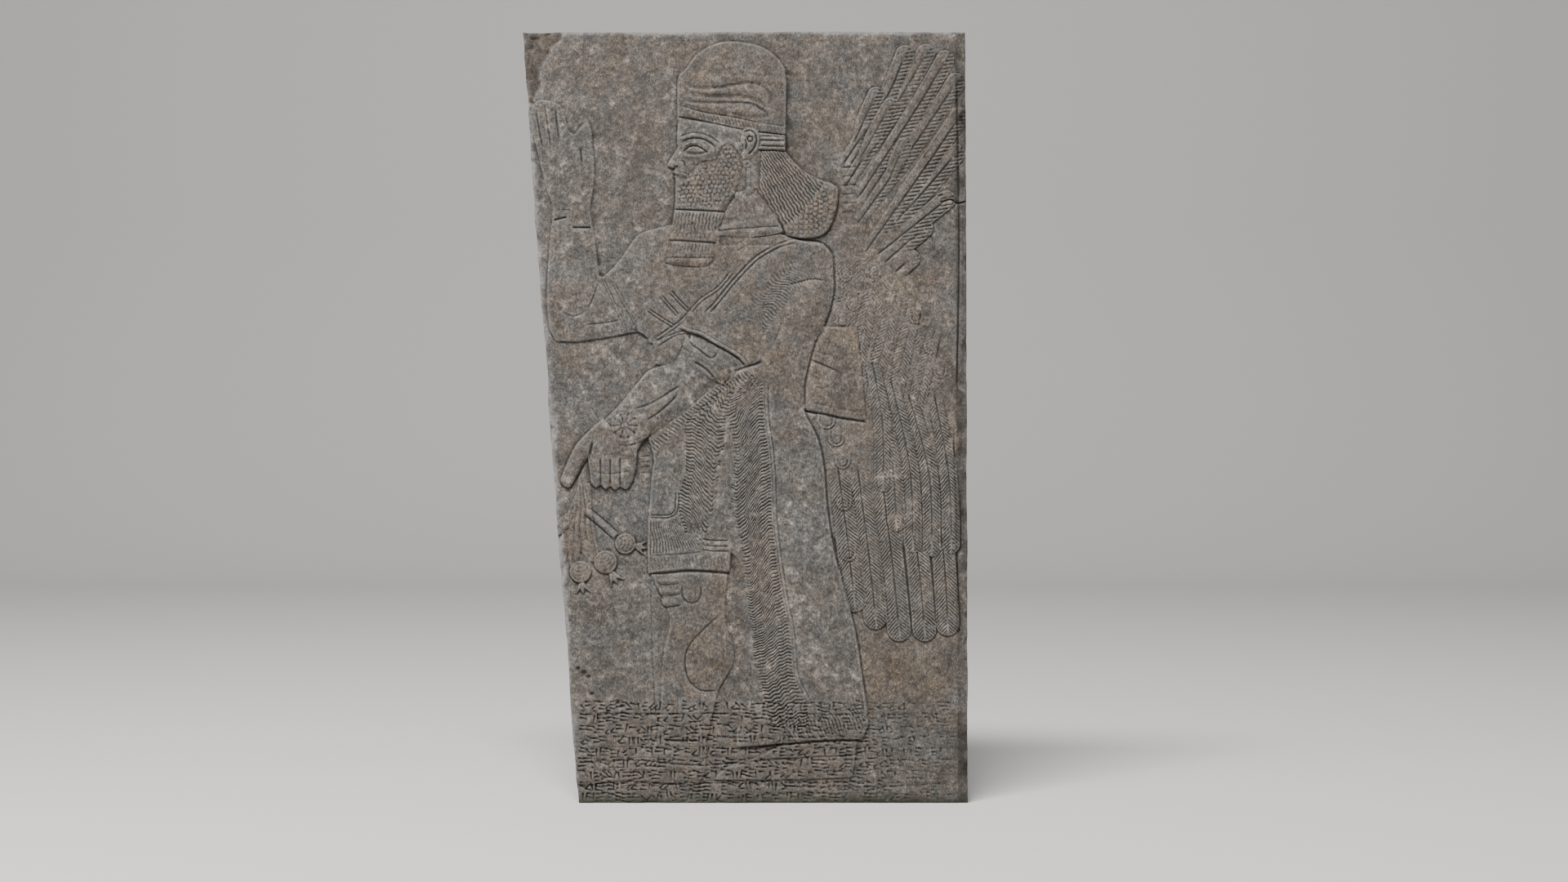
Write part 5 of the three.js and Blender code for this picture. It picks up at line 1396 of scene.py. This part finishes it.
class Nodes:
    """The nodes of one material."""

    def __init__(self, name):
        self.material = bpy.data.materials.new(name)
        self.material.use_nodes = True
        self.tree = self.material.node_tree
        self.shader = self.tree.nodes["Principled BSDF"]
        self.place = self.node("ShaderNodeTexCoord", {}, {}, "Object")

    def node(self, kind, settings, inputs, output=0):
        """One node of a type, with its settings, then its inputs: links or plain values."""
        made = self.tree.nodes.new(kind)
        for name, value in settings.items():
            setattr(made, name, value)
        self.feed(made, inputs)
        return Value(self, made.outputs[output])

    def feed(self, made, inputs):
        for key, value in inputs.items():
            if isinstance(value, Value):
                self.tree.links.new(value.socket, made.inputs[key])
            else:
                made.inputs[key].default_value = value

    def noise(self, size, detail=4.0, rough=0.55, stretch=None, offset=0.0):
        """Noise whose features are about `size` metres across, remapped to spread over 0 to 1."""
        place = self.place
        if stretch:
            place = self.node("ShaderNodeMapping", {}, {"Vector": place, "Scale": stretch})
        raw = self.node("ShaderNodeTexNoise", {"noise_dimensions": "4D"}, {
            "Vector": place, "W": offset, "Scale": 1 / size, "Detail": detail, "Roughness": rough})
        return ((raw - 0.5) * 2.2 + 0.5).held()

    def attribute(self, name):
        return self.node("ShaderNodeAttribute", {"attribute_name": name}, {}, "Fac")

    def mix(self, share, a, b):
        """Colour a towards colour b."""
        inputs = {0: share, 6: a, 7: b}
        return self.node("ShaderNodeMix", {"data_type": "RGBA"}, inputs, 2)

    def ramp(self, value, low, high):
        """0 below `low`, 1 above `high` and a smooth step between them."""
        inputs = {0: value, 1: low, 2: high, 3: 0.0, 4: 1.0}
        return self.node("ShaderNodeMapRange", {"interpolation_type": "SMOOTHSTEP"}, inputs)


def opaque(colour):
    return (*colour, 1.0)


def stone_material(colours):
    """Gypsum stone: cool grey and warm brown patina in patches of many sizes, pale crystals in spots,
    grain of a few millimetres, grime and painted shade in the cuts and darkened zones, wear and painted
    highlight on raised tops, and bare stone on worn and broken edges."""
    m = Nodes("weathered_gypsum")
    warmth, pale = m.attribute("warmth"), m.attribute("pale")
    cloud = m.noise(0.17, 4, 0.6)
    mottle = m.noise(0.046, 3, 0.6, offset=3.0)
    spot = m.noise(0.021, 3, 0.55, offset=4.0)
    freckle = m.noise(0.0105, 3, 0.62, offset=5.0)
    grain = m.noise(0.0052, 3, 0.75, stretch=(1.35, 1.0, 0.8), offset=7.0)
    broad = warmth + (cloud - 0.5) * 0.6 + (mottle - 0.5) * 0.65
    warm = (broad + (spot - 0.5) * 0.5 + (freckle - 0.5) * 0.2).held()
    colour = m.mix(warm, opaque(colours.grey), opaque(colours.tan))
    whiteness = m.ramp(spot * 0.55 + mottle * 0.45, 0.5, 0.95) * pale * 1.5 + (pale - 0.35) * 0.35
    colour = m.mix((whiteness * (0.6 + 0.8 * freckle)).held() * 0.6, colour, opaque(colours.pale))
    stops = 1.65 * grain + 1.1 * freckle + 0.7 * spot - 0.5 * m.noise(0.03, 4, 0.7, offset=11.0) - 1.5
    stops = stops + 0.5 * (m.noise(0.09, 3, 0.6, offset=9.0) - 0.5)
    colour = m.node("ShaderNodeVectorMath", {"operation": "SCALE"}, {0: colour, "Scale": 2.72 ** stops})
    speck = m.ramp(m.noise(0.0065, 2, 0.5, offset=13.0), 0.74, 0.95)
    colour = m.mix(speck * 0.4, colour, opaque(colours.grime_and_shade))
    # Painted highlight, with some real wear: raised tops are mixed towards the pale colour.
    proud = m.attribute("proud")
    colour = m.mix((proud * 0.55 * grain).held(), colour, opaque(colours.pale))
    fresh = m.attribute("fresh")
    colour = m.mix((fresh * (0.35 + 0.65 * freckle)).held(), colour, opaque(colours.pale))
    # Grime and painted shade in the cuts, with the darkened zones (some of them painted shade: the top,
    # the broken corner), mixed towards the dark colour.
    hollow = m.ramp(m.attribute("hollow"), 0.05, 1.4)
    colour = m.mix((hollow * 0.8 + m.attribute("dark") * (0.5 + 0.9 * mottle)).held(), colour,
                   opaque(colours.grime_and_shade))
    colour = m.mix((m.attribute("stain") * (0.35 + 0.7 * mottle)).held(), colour, opaque(colours.foot))
    bump_height = grain * 0.6 + freckle * 0.9 + spot * 0.8 + m.noise(0.0018, 2, 0.6, offset=17.0) * 0.25
    bump = m.node("ShaderNodeBump", {}, {"Strength": 0.8, "Distance": 0.0016, "Height": bump_height},
                  "Normal")
    m.feed(m.shader, {
        "Base Color": colour, "Roughness": 0.72 + 0.2 * freckle - 0.12 * proud, "Normal": bump,
        "Specular IOR Level": 0.28})
    return m.material


def floor_material(colour):
    m = Nodes("pale_floor")
    m.feed(m.shader, {"Base Color": opaque(colour), "Roughness": 0.9, "Specular IOR Level": 0.1})
    return m.material


# Operators

class RELIEF_OT_panel(bpy.types.Operator):
    """Carve the stone panel"""

    bl_idname = "relief.panel"
    bl_label = "Carve panel"

    def execute(self, context):
        sizes, colours = context.scene.relief_sizes, context.scene.relief_stone
        stone = carve(sizes.wear)
        mesh, triangles = panel_mesh(stone, sizes)
        panel = thinned(mesh, triangles, sizes.faces)
        panel.data.shade_smooth()
        panel.data.set_sharp_from_angle(angle=math.radians(50))
        stone_marks(stone, panel.data, sizes.ground_thickness)
        panel.data.materials.clear()
        panel.data.materials.append(stone_material(colours))
        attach(panel, "root")
        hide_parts("relief_slab")
        return {"FINISHED"}


class RELIEF_OT_stage(bpy.types.Operator):
    """Set the floor, the lights and the camera"""

    bl_idname = "relief.stage"
    bl_label = "Set stage"

    def execute(self, context):
        settings = context.scene.relief_stage
        self.floor(context, settings)
        self.lights(context, settings)
        self.camera(context, settings)
        return {"FINISHED"}

    def floor(self, context, settings):
        """A level floor that sweeps up behind the panel on a quarter circle: (y, z) = (bend + radius
        sin a, foot + radius (1 - cos a)), carried across."""
        radius, bend, near, half_width, height = 3.0, 9.0, -14.0, 14.0, 9.0
        angle = np.linspace(0, math.pi / 2, 25)
        y = np.concatenate([[near], bend + radius * np.sin(angle), [bend + radius]])
        z = LOW.z + np.concatenate([[0], radius * (1 - np.cos(angle)), [height]])
        x = np.array([-half_width, half_width])
        points = np.stack([np.repeat(x, y.size), np.tile(y, 2), np.tile(z, 2)], axis=1)
        i = np.arange(y.size - 1)
        faces = np.stack([i, i + y.size, i + y.size + 1, i + 1], axis=1)
        mesh = bpy.data.meshes.new("floor")
        mesh.from_pydata(points.tolist(), [], faces.tolist())
        mesh.shade_smooth()
        mesh.materials.append(floor_material(settings.floor))
        floor = bpy.data.objects.new("floor", mesh)
        context.scene.collection.objects.link(floor)

    def lamp(self, context, name, place, target, size, watts, colour=(1, 1, 1)):
        light = bpy.data.lights.new(name, "AREA")
        light.shape, light.size, light.size_y = "RECTANGLE", size[0], size[1]
        light.energy, light.color = watts, colour
        lamp = bpy.data.objects.new(name, light)
        lamp.location = place
        lamp.rotation_euler = (Vector(target) - Vector(place)).to_track_quat("-Z", "Y").to_euler()
        context.scene.collection.objects.link(lamp)

    def lights(self, context, settings):
        """A broad lamp above and in front of the face, a weak one from the left, and an even sky."""
        self.lamp(context, "key", (-1.6, -4.8, 9.1), (0, 0, -0.2), (5.0, 1.8), settings.key,
                  (1.0, 0.985, 0.96))
        self.lamp(context, "side", (-3.6, -2.6, 0.6), (0, 0, 0), (1.2, 2.4), settings.key * 0.02,
                  (0.95, 0.975, 1.0))
        world = bpy.data.worlds.new("sky")
        world.use_nodes = True
        sky = world.node_tree.nodes["Background"]
        sky.inputs["Color"].default_value = (0.93, 0.96, 1.0, 1.0)
        sky.inputs["Strength"].default_value = settings.fill
        context.scene.world = world

    def camera(self, context, settings):
        """Square on to the panel. The frame is 1920 modules wide where the carved face is."""
        frame_columns, middle_column, middle_row = 1920, 60, 460
        data = bpy.data.cameras.new("camera")
        data.sensor_width = 36.0
        data.lens = data.sensor_width * settings.distance / (frame_columns * MODULE)
        camera = bpy.data.objects.new("camera", data)
        camera.location = (middle_column * MODULE - FIGURE_LEFT_OF_CENTRE, LOW.y - settings.distance,
                           LOW.z + (middle_row - FOOT_ROW) * MODULE)
        camera.rotation_euler = (math.pi / 2, 0, 0)
        context.scene.collection.objects.link(camera)
        context.scene.camera = camera


class RELIEF_PT_sidebar(bpy.types.Panel):
    """Sizes, colours and operators of the relief panel."""

    bl_label = "Relief panel"
    bl_idname = "RELIEF_PT_sidebar"
    bl_space_type = "VIEW_3D"
    bl_region_type = "UI"
    bl_category = "Relief"

    def draw(self, context):
        for group in (context.scene.relief_sizes, context.scene.relief_stone, context.scene.relief_stage):
            box = self.layout.box()
            for name in group.__annotations__:
                box.prop(group, name)
        for operator in (RELIEF_OT_panel, RELIEF_OT_stage):
            self.layout.operator(operator.bl_idname)


CLASSES = (PanelSizes, StoneColours, StageSettings, RELIEF_OT_panel, RELIEF_OT_stage, RELIEF_PT_sidebar)
GROUPS = {"relief_sizes": PanelSizes, "relief_stone": StoneColours, "relief_stage": StageSettings}


def register():
    for cls in CLASSES:
        bpy.utils.register_class(cls)
    for name, group in GROUPS.items():
        setattr(bpy.types.Scene, name, bpy.props.PointerProperty(type=group))


def unregister():
    for name in GROUPS:
        delattr(bpy.types.Scene, name)
    for cls in reversed(CLASSES):
        bpy.utils.unregister_class(cls)


def main():
    register()
    bpy.ops.relief.panel()
    bpy.ops.relief.stage()


if __name__ == "__main__":
    main()
